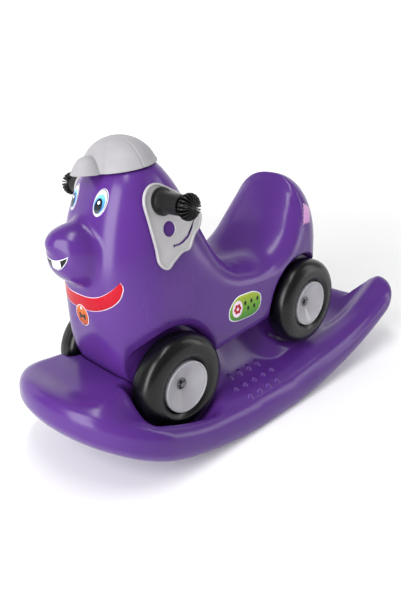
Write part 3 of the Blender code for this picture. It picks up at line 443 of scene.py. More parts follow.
def crown(y):
    """Line of the back from head over saddle to rump: cubic pieces through chosen points."""
    y = np.clip(y, CROWN[0, 0], CROWN[-1, 0])
    i = np.clip(np.searchsorted(CROWN[:, 0], y) - 1, 0, len(CROWN) - 2)
    span = CROWN[i + 1, 0] - CROWN[i, 0]
    t = (y - CROWN[i, 0]) / span
    return ((1 + 2 * t) * (1 - t) ** 2 * CROWN[i, 1] + t * (1 - t) ** 2 * span * CROWN_SLOPE[i]
            + t * t * (3 - 2 * t) * CROWN[i + 1, 1] + t * t * (t - 1) * span * CROWN_SLOPE[i + 1])


def trunk_form(x, y, z):
    """Superellipse sections whose width and height close over the chest and the rump."""
    ahead = np.clip((HEAD_Y - y) / CHEST_LENGTH, 0.0, None)
    behind = np.clip((y - RUMP_Y) / RUMP_LENGTH, 0.0, None)
    chest, rump = np.minimum(ahead, 1.0), np.minimum(behind, 1.0)
    t = np.abs((np.clip(y, HEAD_Y, RUMP_Y) - WIDEST_Y) / 0.2865)
    width = 0.112 * (1.0 - t ** 5.6) ** np.where(y < WIDEST_Y, 0.37, 0.4545)
    width = width * (1.0 + 0.20 * chest ** 4 + 0.14 * chest ** 14) * (1.0 + 0.09 * rump ** 5)
    middle = 0.265 + 0.047 * chest ** 2 + 0.035 * rump ** 2
    belly = BELLY_Z + SLOPE * y - 0.012 * np.clip(ahead * 3.0, 0, 1)
    dish = 0.012 * bell(y, -0.006, 0.075) * bell(x, 0.0, 0.045)
    above = np.clip(z + dish * (z > middle) - middle, 0.0, None) / (crown(y) - middle)
    below = np.clip(middle - z, 0.0, None) / (middle - belly)
    power = np.where(z >= middle, 2.5, 6.0)
    section = ((np.abs(x) / width) ** power + (above + below) ** power) ** (1.0 / power)
    closing = np.where(y < HEAD_Y, 1.98, 2.0)
    whole = (section ** closing + (ahead + behind) ** closing) ** (1.0 / closing)
    return (whole - 1.0) * 0.10


def oval(x, y, z, centre, radii, size):
    """An ellipsoid: root of the sum of squared offsets over radii, less 1, times a size."""
    far = (((x - centre[0]) / radii[0]) ** 2 + ((y - centre[1]) / radii[1]) ** 2
           + ((z - centre[2]) / radii[2]) ** 2)
    return (np.sqrt(far) - 1.0) * size


def muzzle_form(x, y, z):
    """A squarish egg: powers of 2.6, not 2, and a height that climbs 0.22 for each step ahead."""
    along = y + 0.316
    lift = z - 0.367 + 0.22 * along
    far = ((np.abs(x) / 0.0495) ** 2.6 + (np.abs(along) / 0.064) ** 2.6
           + (np.abs(lift) / 0.049) ** 2.6)
    return (far ** (1.0 / 2.6) - 1.0) * 0.049


def bridge(x, y, z):
    """The bridge from between the eyes to the nose: a straight rod, 24 mm tapering to 16.5 mm."""
    start, run = np.array([-0.300, 0.4165]), np.array([-0.058, -0.018])
    share = np.clip(((y - start[0]) * run[0] + (z - start[1]) * run[1]) / (run @ run), 0.0, 1.0)
    reach = np.sqrt(x ** 2 + (y - start[0] - share * run[0]) ** 2
                    + (z - start[1] - share * run[1]) ** 2)
    return reach - (0.024 - 0.0075 * share)


def nose_form(x, y, z):
    """The small button of a nose."""
    return oval(x, y, z, (0.0, -0.3675, 0.3985), (0.0200, 0.0185, 0.0165), 0.0165)


trunk, muzzle, nose = as_distance(trunk_form), as_distance(muzzle_form), as_distance(nose_form)
print("crown over the saddle", float(crown(0.0)))

# %% [markdown]
# A wheel well is a drum about the axle. Its mouth starts to widen at a given X, by a share of each
# step outwards. The rocker has its own pockets for the tyres, slots for the axles, and a seat that
# leaves 0.6 mm round the dog's belly, so that the two mouldings never touch as they are lifted.

# %% The two whole skins
WELL_RADIUS, WELL_NEAR_X, WELL_FAR_X = 0.0975, 0.0760, 0.200
WELL_MOUTH_X, WELL_SPREAD = 0.0990, 0.60
POCKET_GAP, POCKET_NEAR_X, POCKET_FAR_X, POCKET_EASE = 0.004, 0.0757, 0.1505, 0.016
SLOT_HALF, SLOT_X, SEAT_GAP = 0.0075, 0.080, 0.0006


def well(x, y, z):
    """The four wheel wells: drums whose mouths widen a little where they meet the flank."""
    wells = []
    for place in (FRONT_WHEEL, REAR_WHEEL):
        hole = drum(x, y, z, place, WELL_RADIUS, WELL_NEAR_X, WELL_FAR_X, 0.004)
        wide = WELL_SPREAD * (np.abs(x) - WELL_MOUTH_X)
        mouth = np.hypot(y - place[0], z - place[1]) - WELL_RADIUS - wide
        mouth = soft_max(mouth / math.hypot(1.0, WELL_SPREAD), WELL_MOUTH_X - np.abs(x), 0.002)
        wells.append(soft_min(hole, mouth, 0.006))
    return np.minimum(*wells)


def arch(x, y, z):
    """Depth of the recess round a front wheel: it starts at a line 101 to 120 mm from the axle,
    highest ahead of the top, and deepens evenly towards the tyre, faster behind the wheel than
    ahead of it. It stays on the flanks, so the chest keeps its bottom between the wheels."""
    along, up = y - FRONT_WHEEL[0], z - FRONT_WHEEL[1]
    angle = np.arctan2(up, along)
    line = 0.1205 - 0.0190 * ((angle - 1.955) / 1.728) ** 2
    depth = (0.72 - 0.36 * eased(angle, 0.7, 1.2)) * (line - np.hypot(along, up))
    return np.minimum(depth, 0.014) - 0.060 * (1.0 - eased(np.abs(x), 0.050, 0.030))


def dog_skin(x, y, z):
    """The whole dog: snout and trunk joined, then arches, wells, belly and head cut away."""
    snout = soft_min(muzzle(x, y, z), bridge(x, y, z), 0.020)
    snout = soft_min(snout, nose(x, y, z), 0.005)
    flesh = trunk(x, y, z)
    shape = soft_max(soft_min(flesh, snout, 0.010), flesh + arch(x, y, z), 0.003)
    shape = soft_max(shape, -well(x, y, z), 0.0035)
    shape = soft_max(shape, (BELLY_Z + SLOPE * y - z) * CUT_SCALE, 0.004)
    return soft_max(shape, (z - HEAD_TOP_Z - SLOPE * (y - HEAD_Y)) * CUT_SCALE, 0.003)


def rocker_skin(x, y, z):
    """The whole rocker: its form less the wheel pockets, the axle slots and the dog's seat."""
    shape = rocker_distance(x, y, z)
    for place in (FRONT_WHEEL, REAR_WHEEL):
        pocket = drum(x, y, z, place, TYRE_RADIUS + POCKET_GAP, POCKET_NEAR_X, POCKET_FAR_X,
                      POCKET_EASE)
        slot = np.maximum(np.abs(y - place[0]), place[1] - z) - SLOT_HALF
        shape = soft_max(shape, -pocket, 0.014)
        shape = np.maximum(shape, -np.maximum(slot, np.abs(x) - SLOT_X))
    return soft_max(shape, SEAT_GAP - trunk(x, y, z), 0.003)


print("pocket radius", TYRE_RADIUS + POCKET_GAP, "well radius", WELL_RADIUS)


# %% [markdown]
# ## Purple polyethylene
# Both shells are blow-moulded high-density polyethylene. The polished mould leaves a gloss with a
# faint orange peel, the pigment drifts a little, and the flank keeps a sandblasted grain.

# %% Finish of the two shells
def purple_shell(name, grain=None):
    """Glossy pigmented HDPE: crisp highlights that an orange peel of 6 mm just breaks, over
    clouds of 110 mm. The grain fills an oval (centre, half size) with specks of 2.4 mm, drawn
    coarse enough to show, and dulls the gloss there."""
    material, tree, shader, where = new_finish(name, IOR=1.47, Specular_IOR_Level=0.36)
    cloudy_colour(tree, shader, where, "#4c2676", "#532b7d", 9.0)
    gloss = drifting_gloss(tree, shader, where, 0.19, 0.25, 22.0)
    peel = add(tree, "TexNoise", {"Vector": where, "Scale": 160.0, "Detail": 2.0}).outputs["Fac"]
    layers = [(peel, 0.00020, 0.12)]
    if grain:
        centre, half = grain
        offset = add(tree, "VectorMath", {0: where, 1: centre}, operation="SUBTRACT")
        scaled = add(tree, "VectorMath", {0: offset.outputs["Vector"], 1: half},
                     operation="DIVIDE")
        far = add(tree, "VectorMath", {0: scaled.outputs["Vector"]}, operation="LENGTH")
        zone = add(tree, "MapRange", {"Value": far.outputs["Value"], "From Min": 0.55,
                                      "From Max": 1.15, "To Min": 1.0, "To Max": 0.02},
                   interpolation_type="SMOOTHSTEP").outputs["Result"]
        speck = add(tree, "TexNoise", {"Vector": where, "Scale": 420.0, "Detail": 2.0})
        strength = add(tree, "Math", {0: zone, 1: 0.9}, operation="MULTIPLY")
        layers.append((speck.outputs["Fac"], 0.0012, strength.outputs["Value"]))
        rough = add(tree, "Math", {0: zone, 1: 0.10, 2: gloss.outputs["Result"]},
                    operation="MULTIPLY_ADD")
        tree.links.new(rough.outputs["Value"], shader.inputs["Roughness"])
    bumped(tree, shader, layers)
    return material


DOG_PURPLE = purple_shell("purple_hdpe_polished_and_grained",
                          ((0.11, -0.235, 0.300), (0.06, 0.060, 0.075)))
ROCKER_PURPLE = purple_shell("purple_hdpe_polished")

# %% [markdown]
# ## Lay the two skins
# Cells of about 3 mm are finer than a pixel of the portrait, and the settled points and exact
# shading directions make them look seamless.

# %% Shells
COARSER = 1.0
ROCKER_CELL, DOG_CELL = 0.0033 * COARSER, 0.0029 * COARSER
rocker_mesh = skin_mesh("rocker_shell", rocker_skin, (-0.185, -0.455, -0.008),
                        (0.185, 0.455, 0.185), ROCKER_CELL)
show("rocker_shell", rocker_mesh, "rocker", ROCKER_PURPLE, "rocker_base")
dog_mesh = skin_mesh("dog_shell", dog_skin, (-0.122, -0.400, 0.105), (0.122, 0.243, 0.512),
                     DOG_CELL)
show("dog_shell", dog_mesh, "dog", DOG_PURPLE, "body_shell")

# %% [markdown]
# ## Black and grey plastics, and steel
# The small parts share one recipe: two near shades in clouds, a gloss that drifts, and a fine
# grain as a bump. What tells them apart is how dark they are and how broad their highlights.

# %% Finishes of the small parts
def grained(name, dark, light, low, high, cloud, drift, grain, depth, strength, detail=2.0,
            **constants):
    """Clouds, drift and grain are noises of a given scale; low and high are the roughness, and
    the grain is a bump of some depth in metres."""
    material, tree, shader, where = new_finish(name, **constants)
    cloudy_colour(tree, shader, where, dark, light, cloud)
    drifting_gloss(tree, shader, where, low, high, drift)
    fine = add(tree, "TexNoise", {"Vector": where, "Scale": grain, "Detail": detail})
    bumped(tree, shader, [(fine.outputs["Fac"], depth, strength)])
    return material


# Black polyethylene and vinyl: hardly any colour of their own, so the eye sees only the sheen.
BLACK = {"cloud": 18.0, "drift": 30.0, "strength": 0.35, "detail": 3.0,
         "IOR": 1.49, "Specular_IOR_Level": 0.36}
BLOWN = {"grain": 260.0, "depth": 0.00012, **BLACK}  # grain of 4 mm from the blow mould
TYRE_BLACK = grained("black_ldpe_blown_tyre", "#040405", "#070709", 0.25, 0.32, **BLOWN)
PLUG_BLACK = grained("black_pe_vent_plug", "#040405", "#070709", 0.40, 0.50, **BLOWN)
# Soft vinyl is a little greyer and duller, with a finer grain of 2.4 mm.
GRIP_BLACK = grained("black_pvc_soft_grip", "#050506", "#09090a", 0.38, 0.50, grain=420.0,
                     depth=0.0001, **BLACK)
# Injection-moulded polypropylene and ABS: even, pale, and satin from a spark-eroded mould, whose
# grain is drawn 1.1 mm wide. The hub is the glossiest, the cap is nearly matt.
GREY = {"cloud": 25.0, "drift": 40.0, "grain": 900.0, "depth": 0.0001, "strength": 0.25,
        "IOR": 1.50}
HUB_GREY = grained("grey_pp_hub", "#9d9aa1", "#a7a5ab", 0.20, 0.26, **GREY)
CAP_GREY = grained("warm_grey_abs_cap", "#959397", "#9e9ca0", 0.62, 0.70, **GREY)
PLATE_GREY = grained("warm_grey_abs_plate", "#a6a4a7", "#aeacae", 0.34, 0.44, **GREY)
NATURAL_PP = grained("natural_pp_spacer", "#c9c6bd", "#d2cfc6", 0.34, 0.44, **GREY)
# Plated steel mirrors its surroundings, dulled by spangles of 6 to 8 mm and rub marks of 1.4 mm.
STEEL = {"cloud": 120.0, "drift": 160.0, "grain": 700.0, "depth": 0.00008, "strength": 0.3,
         "Metallic": 1.0}
AXLE_STEEL = grained("zinc_plated_steel", "#5c5d61", "#77797d", 0.26, 0.38, **STEEL)
DARK_STEEL = grained("blackened_spring_steel", "#4a4a4e", "#77777c", 0.18, 0.30, **STEEL)

# %% [markdown]
# ## Wheels
# Each wheel is a hollow blown tyre on a pressed-in hub. The tyre's section is a superellipse with
# a fine parting line round the tread and a side wall that draws in to the hub. The hub is a
# shallow injection-moulded cone with a thin raised rim. A star lock washer, a pressed disc with
# six teeth and narrow slits between them, bites the end of the steel axle. All are profiles
# turned about the axle.

# %% Profiles
BEAD_RADIUS, SHOULDER_RADIUS = 0.0470, 0.0610
sweep = np.linspace(0.0, math.pi, 61)
tread_along = TYRE_HALF_WIDTH * np.sign(np.cos(sweep)) * np.abs(np.cos(sweep)) ** 0.70
tread_radius = SHOULDER_RADIUS + 0.0299 * np.abs(np.sin(sweep)) ** 0.80
tread_radius -= 0.0006 * bell(tread_along, -0.0050, 0.0009)
wall_radius = np.linspace(BEAD_RADIUS, SHOULDER_RADIUS, 14, endpoint=False)
wall_along = TYRE_HALF_WIDTH - 0.0080 * ((SHOULDER_RADIUS - wall_radius) / 0.0140) ** 1.7
tyre_radius = np.concatenate([wall_radius, tread_radius, wall_radius[::-1]])[:, None]
tyre_along = np.concatenate([wall_along, tread_along, -wall_along[::-1]])[:, None]


def rounded(corners, radius, steps=4):
    """Round each corner of a closed line by a parabola that leaves it a radius to each side."""
    before, after = np.roll(corners, 1, axis=0) - corners, np.roll(corners, -1, axis=0) - corners
    lb, la = (np.linalg.norm(leg, axis=1, keepdims=True) for leg in (before, after))
    cut = np.minimum(np.minimum(radius, 0.45 * lb), 0.45 * la)
    start, end = corners + before / lb * cut, corners + after / la * cut
    t = np.linspace(0.0, 1.0, steps + 1)[None, :, None]
    bend = (1 - t) ** 2 * start[:, None] + 2 * t * (1 - t) * corners[:, None] + t * t * end[:, None]
    return bend.reshape(-1, 2)


hub_corners = np.array([(0.0054, 0.0330), (0.0110, 0.0330), (0.0118, 0.0336), (0.0300, 0.0414),
                        (0.0422, 0.0470), (0.0437, 0.0474), (0.0440, 0.0499), (0.0461, 0.0499),
                        (0.0467, 0.0490), (0.0467, 0.0045), (0.0437, 0.0045), (0.0437, 0.0440),
                        (0.0120, 0.0300), (0.0110, 0.0004), (0.0054, 0.0004)])
hub_radius, hub_along = rounded(hub_corners, 0.0008).T[:, :, None]

# the washer's rows: radius, rise over its seat, and how far a slit cuts into the rise
washer_rows = np.array([(0.0053, 0.0030, 1.0), (0.0058, 0.0031, 1.0), (0.0067, 0.0026, 1.0),
                        (0.0076, 0.0018, 0.7), (0.0084, 0.0012, 0.2), (0.0092, 0.0013, 0.0),
                        (0.0101, 0.0011, 0.0), (0.0104, 0.0006, 0.0), (0.0100, 0.0003, 0.0),
                        (0.0053, 0.0003, 0.0)])
washer_radius, rise, depth = washer_rows.T[:, :, None]
WASHER_STEPS = 96
three_turns = 3.0 * np.linspace(0.0, 2.0 * math.pi, WASHER_STEPS, endpoint=False)
tooth = eased(np.abs(np.sin(three_turns)), 0.20, 0.30)
washer_along = rise * (1.0 - 0.75 * depth * (1.0 - tooth))
print("tyre", len(tyre_radius), "hub", len(hub_radius), "washer", len(washer_radius), "rows")

# %% [markdown]
# The tyre and the hub turn with their wheel, and the washer stays on the dog's fixed axle. The
# axles, the spacers, the handlebar and the vent plug already have the right shape, so the packed
# solids stay and only get their finish.

# %% Tyres, hubs, lock washers and what stays as packed
HUB_START_X, WASHER_START_X = 0.0860, 0.1190
# piece and node, profile, steps round, its start along X, sharp angle and finish
TURNED = (("fine_tyre", "tyre", tyre_radius, tyre_along, 144, WHEEL_MID_X, 50.0, TYRE_BLACK),
          ("fine_hub", "hub", hub_radius, hub_along, 120, HUB_START_X, 30.0, HUB_GREY),
          ("lock_washer", "nut", washer_radius, washer_along, WASHER_STEPS, WASHER_START_X, 40.0,
           DARK_STEEL))


def dress(node, material):
    """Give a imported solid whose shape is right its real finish."""
    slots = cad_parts[node].data.materials
    slots.clear()
    slots.append(material)


for end, axle in (("front", FRONT_WHEEL), ("rear", REAR_WHEEL)):
    for side_name, side in SIDES:
        corner = "_" + end + "_" + side_name
        for piece, node, radius, along, steps, start, sharp, finish in TURNED:
            mesh = turned(piece + corner, radius, along, steps, side, (start, *axle), sharp)
            body = "dog" if node == "nut" else "wheel" + corner
            show(piece + corner, mesh, body, finish, node + corner)
        dress("spacer" + corner, NATURAL_PP)
for node in ("front_axle", "rear_axle", "handlebar"):
    dress(node, AXLE_STEEL)
dress("vent_plug", PLUG_BLACK)

# %% [markdown]
# ## Footrest studs
# Thirteen low round studs stand on each side of the deck, so that small shoes don't slip. Each is
# a soft bump, its rise times (1 - (r/R) squared) to the power 1.1, laid over the deck's height.

# %% Studs
STUD_RADIUS, STUD_RISE, STUD_SINK = 0.0076, 0.0050, 0.0004
STUD_X, ROW_STEP, STUD_STEP = 0.0990, 0.026, 0.027


def top_height(x, y):
    """Height of the rocker's rounded top over the plan: the edge's superellipse undone."""
    low, high = arc_height(y), deck_height(x, y)
    middle = widest_height(low, high)
    short = np.clip(1.0 - plan_margin(x, y) / EDGE_WIDTH, 0.0, 1.0)
    return middle + (high - middle) * (1.0 - short ** EDGE_POWER) ** (1.0 / EDGE_POWER)


studs = np.array([(side * (STUD_X + ROW_STEP * row),
                   STUD_MID_Y + STUD_STEP * (k - 0.5 * (count - 1)), side)
                  for _, side in SIDES for row, count in enumerate((4, 5, 4))
                  for k in range(count)])
stud_x, stud_y, stud_side = studs.T[:, :, None, None]
ring = np.linspace(0.0, 1.0, 10)[:, None]
around = np.linspace(0.0, 2.0 * math.pi, 28, endpoint=False)
bump_x = stud_x + STUD_RADIUS * ring * np.cos(around) * stud_side
bump_y = stud_y + STUD_RADIUS * ring * np.sin(around)
bump_z = top_height(bump_x, bump_y) + STUD_RISE * (1.0 - ring ** 2) ** 1.1 - STUD_SINK
number = np.arange(bump_x.size).reshape(bump_x.shape)
stud_quads = grid_quads(np.concatenate([number, number[..., :1]], axis=2))
stud_mesh = mesh_from("footrest_studs", np.stack([bump_x, bump_y, bump_z], -1).reshape(-1, 3),
                      stud_quads)
show("footrest_studs", stud_mesh, "rocker", ROCKER_PURPLE)

# %% [markdown]
# ## Cap
# The cap is a thin warm-grey moulding: a dome with six sewn-looking panels and a small round bill
# that the dome overlaps. It is a shell 2.5 mm thick, so its form is the soft union of two
# ellipsoids, with the same form 2.5 mm smaller taken away, cut at the rim, which tilts with the
# head. The panel seams are shallow grooves on planes through the crown.

# %% Cap
CAP_BASE_Z, CAP_WALL = 0.4985, 0.0025  # heights in the cap count from its base


def cap_shell(x, y, z):
    """Dome and bill about the head's own slope, cut 5.5 mm over the base, where the head ends,
    and 8 mm over it under the bill."""
    dy, dz = y - HEAD_Y, z - CAP_BASE_Z
    along, up = dy * TILT_COS + dz * TILT_SIN, dz * TILT_COS - dy * TILT_SIN
    dome = oval(x, along, up, (0.0, 0.0, -0.0049), (0.0640, 0.0610, 0.0562), 0.054)
    bill = oval(x, along, up, (0.0, -0.0595, -0.0194), (0.0295, 0.0324, 0.0515), 0.030)
    for seam in np.radians((30.0, 90.0, 150.0)):
        off = np.abs(x) * math.cos(seam) + along * math.sin(seam)
        ahead = np.abs(x) * math.sin(seam) - along * math.cos(seam)
        groove = bell(off, 0.0, 0.0014) * eased(ahead, 0.0, 0.006) * eased(0.0505 - up, 0.0, 0.01)
        dome = dome + 0.0009 * groove
    outer = soft_min(dome, bill, 0.0008)
    rim = 0.0055 + 0.0025 * eased(-along, 0.055, 0.030)
    lip = 0.0012 * bell(up, rim, 0.005)
    shell = soft_max(outer - lip, -(outer + CAP_WALL), 0.0010)
    return soft_max(shell, rim - up, 0.0012)


cap_mesh = skin_mesh("fine_cap", cap_shell, (-0.068, -0.335, 0.480), (0.068, -0.168, 0.556),
                     0.0015)
show("fine_cap", cap_mesh, "dog", CAP_GREY, "cap")

# %% [markdown]
# ## Ear plates
# Two flat grey plates stand for the dog's ears and carry the handlebar. Each has a smooth outline
# with a raised rim, a round hole and a curved slot. The distance to the outline in the plate's own
# plane gives the wall, the rim and the rounded edges all at once.

# %% Outline and slot of an ear plate
def closed_curve(points, per):
    """Smooth closed curve through points: cubics whose slopes are half the neighbours' span."""
    p = np.asarray(points, dtype=float)
    before, after, beyond = np.roll(p, 1, 0), np.roll(p, -1, 0), np.roll(p, -2, 0)
    t = np.linspace(0.0, 1.0, per, endpoint=False)[None, :, None]
    a, b = 0.5 * (after - before)[:, None], 0.5 * (beyond - p)[:, None]
    curve = ((2 * t ** 3 - 3 * t ** 2 + 1) * p[:, None] + (t ** 3 - 2 * t ** 2 + t) * a
             + (3 * t ** 2 - 2 * t ** 3) * after[:, None] + (t ** 3 - t ** 2) * b)
    return curve.reshape(-1, 2)


def outline_distance(u, v, outline):
    """Distance in the plane to a closed outline: to the nearest edge, and negative inside, where
    a ray crosses an odd number of edges."""
    start, end = outline, np.roll(outline, -1, 0)
    edge = end - start
    du, dv = u[..., None] - start[:, 0], v[..., None] - start[:, 1]
    share = np.clip((du * edge[:, 0] + dv * edge[:, 1]) / (edge ** 2).sum(1), 0.0, 1.0)
    far = np.hypot(du - share * edge[:, 0], dv - share * edge[:, 1]).min(axis=-1)
    crossing = (v[..., None] >= start[:, 1]) != (v[..., None] >= end[:, 1])
    side = (edge[:, 0] * dv - edge[:, 1] * du) * np.sign(edge[:, 1]) < 0.0
    inside = (crossing & side).sum(axis=-1) % 2 == 1
    return np.where(inside, -far, far)


EAR_OUTLINE = closed_curve([(-0.006, 0.0285), (-0.026, 0.022), (-0.035, 0.003), (-0.031, -0.028),
                            (-0.0252, -0.068), (-0.0225, -0.094), (-0.007, -0.107),
                            (0.011, -0.0965), (0.028, -0.0870), (0.045, -0.0840),
                            (0.0585, -0.0655), (0.0745, -0.050), (0.0775, -0.028),
                            (0.050, -0.001), (0.024, 0.0155)], 10)
SLOT_LINE = np.array([(0.0135, -0.0725, 0.0023), (0.0150, -0.0725, 0.0011),
                      (0.0240, -0.0722, 0.0016), (0.0333, -0.0695, 0.0024),
                      (0.0453, -0.0628, 0.0030), (0.0553, -0.0510, 0.0026),
                      (0.0622, -0.0386, 0.0010)])  # (u, v, half width)
TABLE_STEP = 0.001
PLANE_U, PLANE_V = np.arange(-0.044, 0.0881, TABLE_STEP), np.arange(-0.116, 0.0381, TABLE_STEP)
plane_u, plane_v = np.meshgrid(PLANE_U, PLANE_V, indexing="ij")
EAR_EDGE = outline_distance(plane_u, plane_v, EAR_OUTLINE)
slot_t = np.linspace(0.0, len(SLOT_LINE) - 1.0, 90)
slot_u, slot_v, slot_half = (np.interp(slot_t, range(len(SLOT_LINE)), row) for row in SLOT_LINE.T)
slot_far = np.hypot(plane_u[..., None] - slot_u, plane_v[..., None] - slot_v) - slot_half
EAR_SLOT = slot_far.min(axis=-1)
print("ear plate", np.ptp(EAR_OUTLINE, axis=0).round(4), "m along and up")


# %% Ear plates
def plane_value(table, u, v):
    """Read a table over the plate's plane between its points."""
    fu = np.clip((u - PLANE_U[0]) / TABLE_STEP, 0, len(PLANE_U) - 1.001)
    fv = np.clip((v - PLANE_V[0]) / TABLE_STEP, 0, len(PLANE_V) - 1.001)
    i, j = fu.astype(int), fv.astype(int)
    fu, fv = fu - i, fv - j
    return ((table[i, j] * (1 - fu) + table[i + 1, j] * fu) * (1 - fv)
            + (table[i, j + 1] * (1 - fu) + table[i + 1, j + 1] * fu) * fv)


def ear_plate(out, u, v):
    """A plate 3 mm thick with a rim 2 mm proud and 4 mm wide, a round hole and a curved slot."""
    edge, slot = plane_value(EAR_EDGE, u, v), plane_value(EAR_SLOT, u, v)
    hole = np.hypot(u - 0.0082, v + 0.0444) - 0.0122
    face = 0.0030 + 0.0020 * eased(edge, -0.0046, 0.0014)
    shape = soft_max(edge, out - face, 0.0016)
    shape = soft_max(shape, -out, 0.0006)
    shape = soft_max(shape, -hole, 0.0012)
    return soft_max(shape, -slot, 0.0008)


BAR_Y, BAR_Z = -0.2368, 0.4557
LEAN = math.radians(9.0)
PLATE_X = 0.0985 - (BAR_Z - 0.4100) * math.tan(LEAN)
for side_name, side in SIDES:
    mesh = skin_mesh("fine_ear_" + side_name, ear_plate, (-0.0022, -0.040, -0.112),
                     (0.0078, 0.084, 0.034), 0.0011, mirrored=False)
    mesh.transform(Matrix(((side * math.cos(LEAN), 0, -side * math.sin(LEAN), side * PLATE_X),
                           (0, 1, 0, BAR_Y),
                           (math.sin(LEAN), 0, math.cos(LEAN), BAR_Z), (0, 0, 0, 1))))
    if side < 0.0:
        mesh.flip_normals()
    show("fine_ear_" + side_name, mesh, "dog", PLATE_GREY, "ear_plate_" + side_name)

# %% [markdown]
# ## Grips
# Soft vinyl grips push on to the bar. Each has a round flange that lies on the plate, a plain
# tube and a ball of twenty thin blades round a core. The radius is a profile along the bar, and
# in the ball it changes between the blade's and the core's with the cosine of twenty times the
# angle.

# %% Grips
GRIP_END_X, KNOB_LENGTH, BLADES = 0.1658, 0.0225, 20.0
GRIP_START = PLATE_X + 0.003 / math.cos(LEAN) + 0.0003


def grip_points(side):
    """Radius along the bar times a comb of blades round it; the flange leans with the plate."""
    length = GRIP_END_X - GRIP_START
    angle = np.linspace(0.0, 2.0 * math.pi, 384, endpoint=False)
    blade = eased(np.cos(BLADES * angle), 0.05, 0.35)
    share = 0.5 - 0.5 * np.cos(math.pi * np.linspace(0.0, 1.0, 34))
    knob_along = length - KNOB_LENGTH + KNOB_LENGTH * share
    knob_radius = 0.0208 * np.sqrt(np.clip(1.0 - (2.0 * share - 1.10) ** 2 * 0.74, 0.03, None))
    knob_core = 0.0115 * np.sqrt(np.clip(1.0 - ((share - 0.40) / 0.60) ** 2, 0.0, None))
    knob_core = np.clip(knob_core, 0.0035, None)
    tube_along = np.array([0.0, 0.0006, 0.0034, 0.0040, 0.0046, 0.0060, 0.0200,
                           length - KNOB_LENGTH - 0.001])
    tube_radius = np.array([0.0205, 0.0215, 0.0215, 0.0205, 0.0180, 0.0172, 0.0166, 0.0160])
    along = np.concatenate([tube_along, knob_along, [length, length]])
    radius = np.concatenate([tube_radius, np.maximum(knob_radius, 0.0040), [0.0035, 0.0]])
    core = np.concatenate([tube_radius, np.minimum(knob_core, knob_radius), [0.0035, 0.0]])
    core[len(tube_along):len(tube_along) + 4] = np.linspace(0.0160, 0.0120, 4)
    reach = core[:, None] + (radius - core)[:, None] * blade
    # the bore: a pole inside the tube, then its wall out to the flange
    along = np.concatenate([[0.0300, 0.0300, 0.0], along])
    bore = np.array([0.0, 0.0113, 0.0113])[:, None] + 0.0 * angle
    reach = np.concatenate([bore, reach])
    lean = math.tan(LEAN) * (1.0 - eased(along, 0.0, 0.018))[:, None] * reach * np.sin(angle)
    return np.stack([side * (GRIP_START + along[:, None] - lean), BAR_Y + reach * np.cos(angle),
                     BAR_Z + reach * np.sin(angle)], axis=-1)


for side_name, side in SIDES:
    mesh = grid_mesh("fine_grip_" + side_name, grip_points(side), wrap_v=True)
    mesh.set_sharp_from_angle(angle=math.radians(42.0))
    show("fine_grip_" + side_name, mesh, "dog", GRIP_BLACK, "grip_" + side_name)

# %% [markdown]
# ## Printed labels
# The eyes, the grin, the collar, its medal, two plaques and two tail marks are printed vinyl stuck
# on the shell. A decal made by projection would need a picture, so each colour is a thin sheet of
# its own: it is drawn flat, marched on to the dog's own formula along one direction, and lifted a
# fifth of a millimetre over the sheet below.

# %% Ink, and flat grids to draw with
def vinyl(name, *colours, low=0.0, high=1.0):
    """Gloss-laminated printed vinyl: flat bright ink under a smooth film. The ink fades upwards
    through the colours between two heights, with a faint mottle of 7 mm."""
    material, tree, shader, where = new_finish(name, IOR=1.48, Specular_IOR_Level=0.22)
    height = add(tree, "SeparateXYZ", {0: where}).outputs["Z"]
    mottle = add(tree, "TexNoise", {"Vector": where, "Scale": 140.0, "Detail": 1.0})
    share = add(tree, "MapRange", {"Value": height, "From Min": low, "From Max": high})
    mixed = add(tree, "Math", {0: mottle.outputs["Fac"], 1: 0.12, 2: share.outputs["Result"]},
                operation="MULTIPLY_ADD")
    ramp = add(tree, "ValToRGB", {"Fac": mixed.outputs["Value"]})
    stops = ramp.color_ramp.elements
    stops[0].color, stops[1].color = linear(colours[0]), linear(colours[-1])
    for k, colour in enumerate(colours[1:-1]):
        stops.new((k + 1.0) / (len(colours) - 1.0)).color = linear(colour)
    tree.links.new(ramp.outputs["Color"], shader.inputs["Base Color"])
    drifting_gloss(tree, shader, where, 0.20, 0.30, 60.0)
    return material


def line(x, z):
    """A flat line from its two coordinates."""
    return np.stack([x, z], axis=-1)


def between(first, second, rows=8):
    """Straight rows from one edge line to the other."""
    t = np.linspace(0.0, 1.0, rows)[:, None, None]
    return (1.0 - t) * first + t * second


def disc(centre, half, count=14):
    """A square grid squeezed into an ellipse: u times root of 1 - v squared / 2, and v alike."""
    u, v = np.meshgrid(np.linspace(-1.0, 1.0, count), np.linspace(-1.0, 1.0, count), indexing="ij")
    return line(centre[0] + half[0] * u * np.sqrt(1.0 - 0.5 * v * v),
                centre[1] + half[1] * v * np.sqrt(1.0 - 0.5 * u * u))


WHITE_INK = vinyl("white_vinyl_label", "#dfe0e6", "#f6f7fb")
BLACK_INK = vinyl("black_vinyl_label", "#101013", "#1b1b1f")

# %% [markdown]
# A sheet is pressed on as a real label is: every point moves straight in, from the front or from a
# side, until it meets the skin. The sheets of one label become one mesh with several inks.

# %% Drape and stack
FACE, FLANKS = (0.0,), (1.0, -1.0)
START_Y, START_X, MARCH_STEPS = -0.42, 0.17, 45
FIRST_LIFT, LIFT_STEP, SHEET_THICKNESS = 0.00015, 0.0002, 0.0001


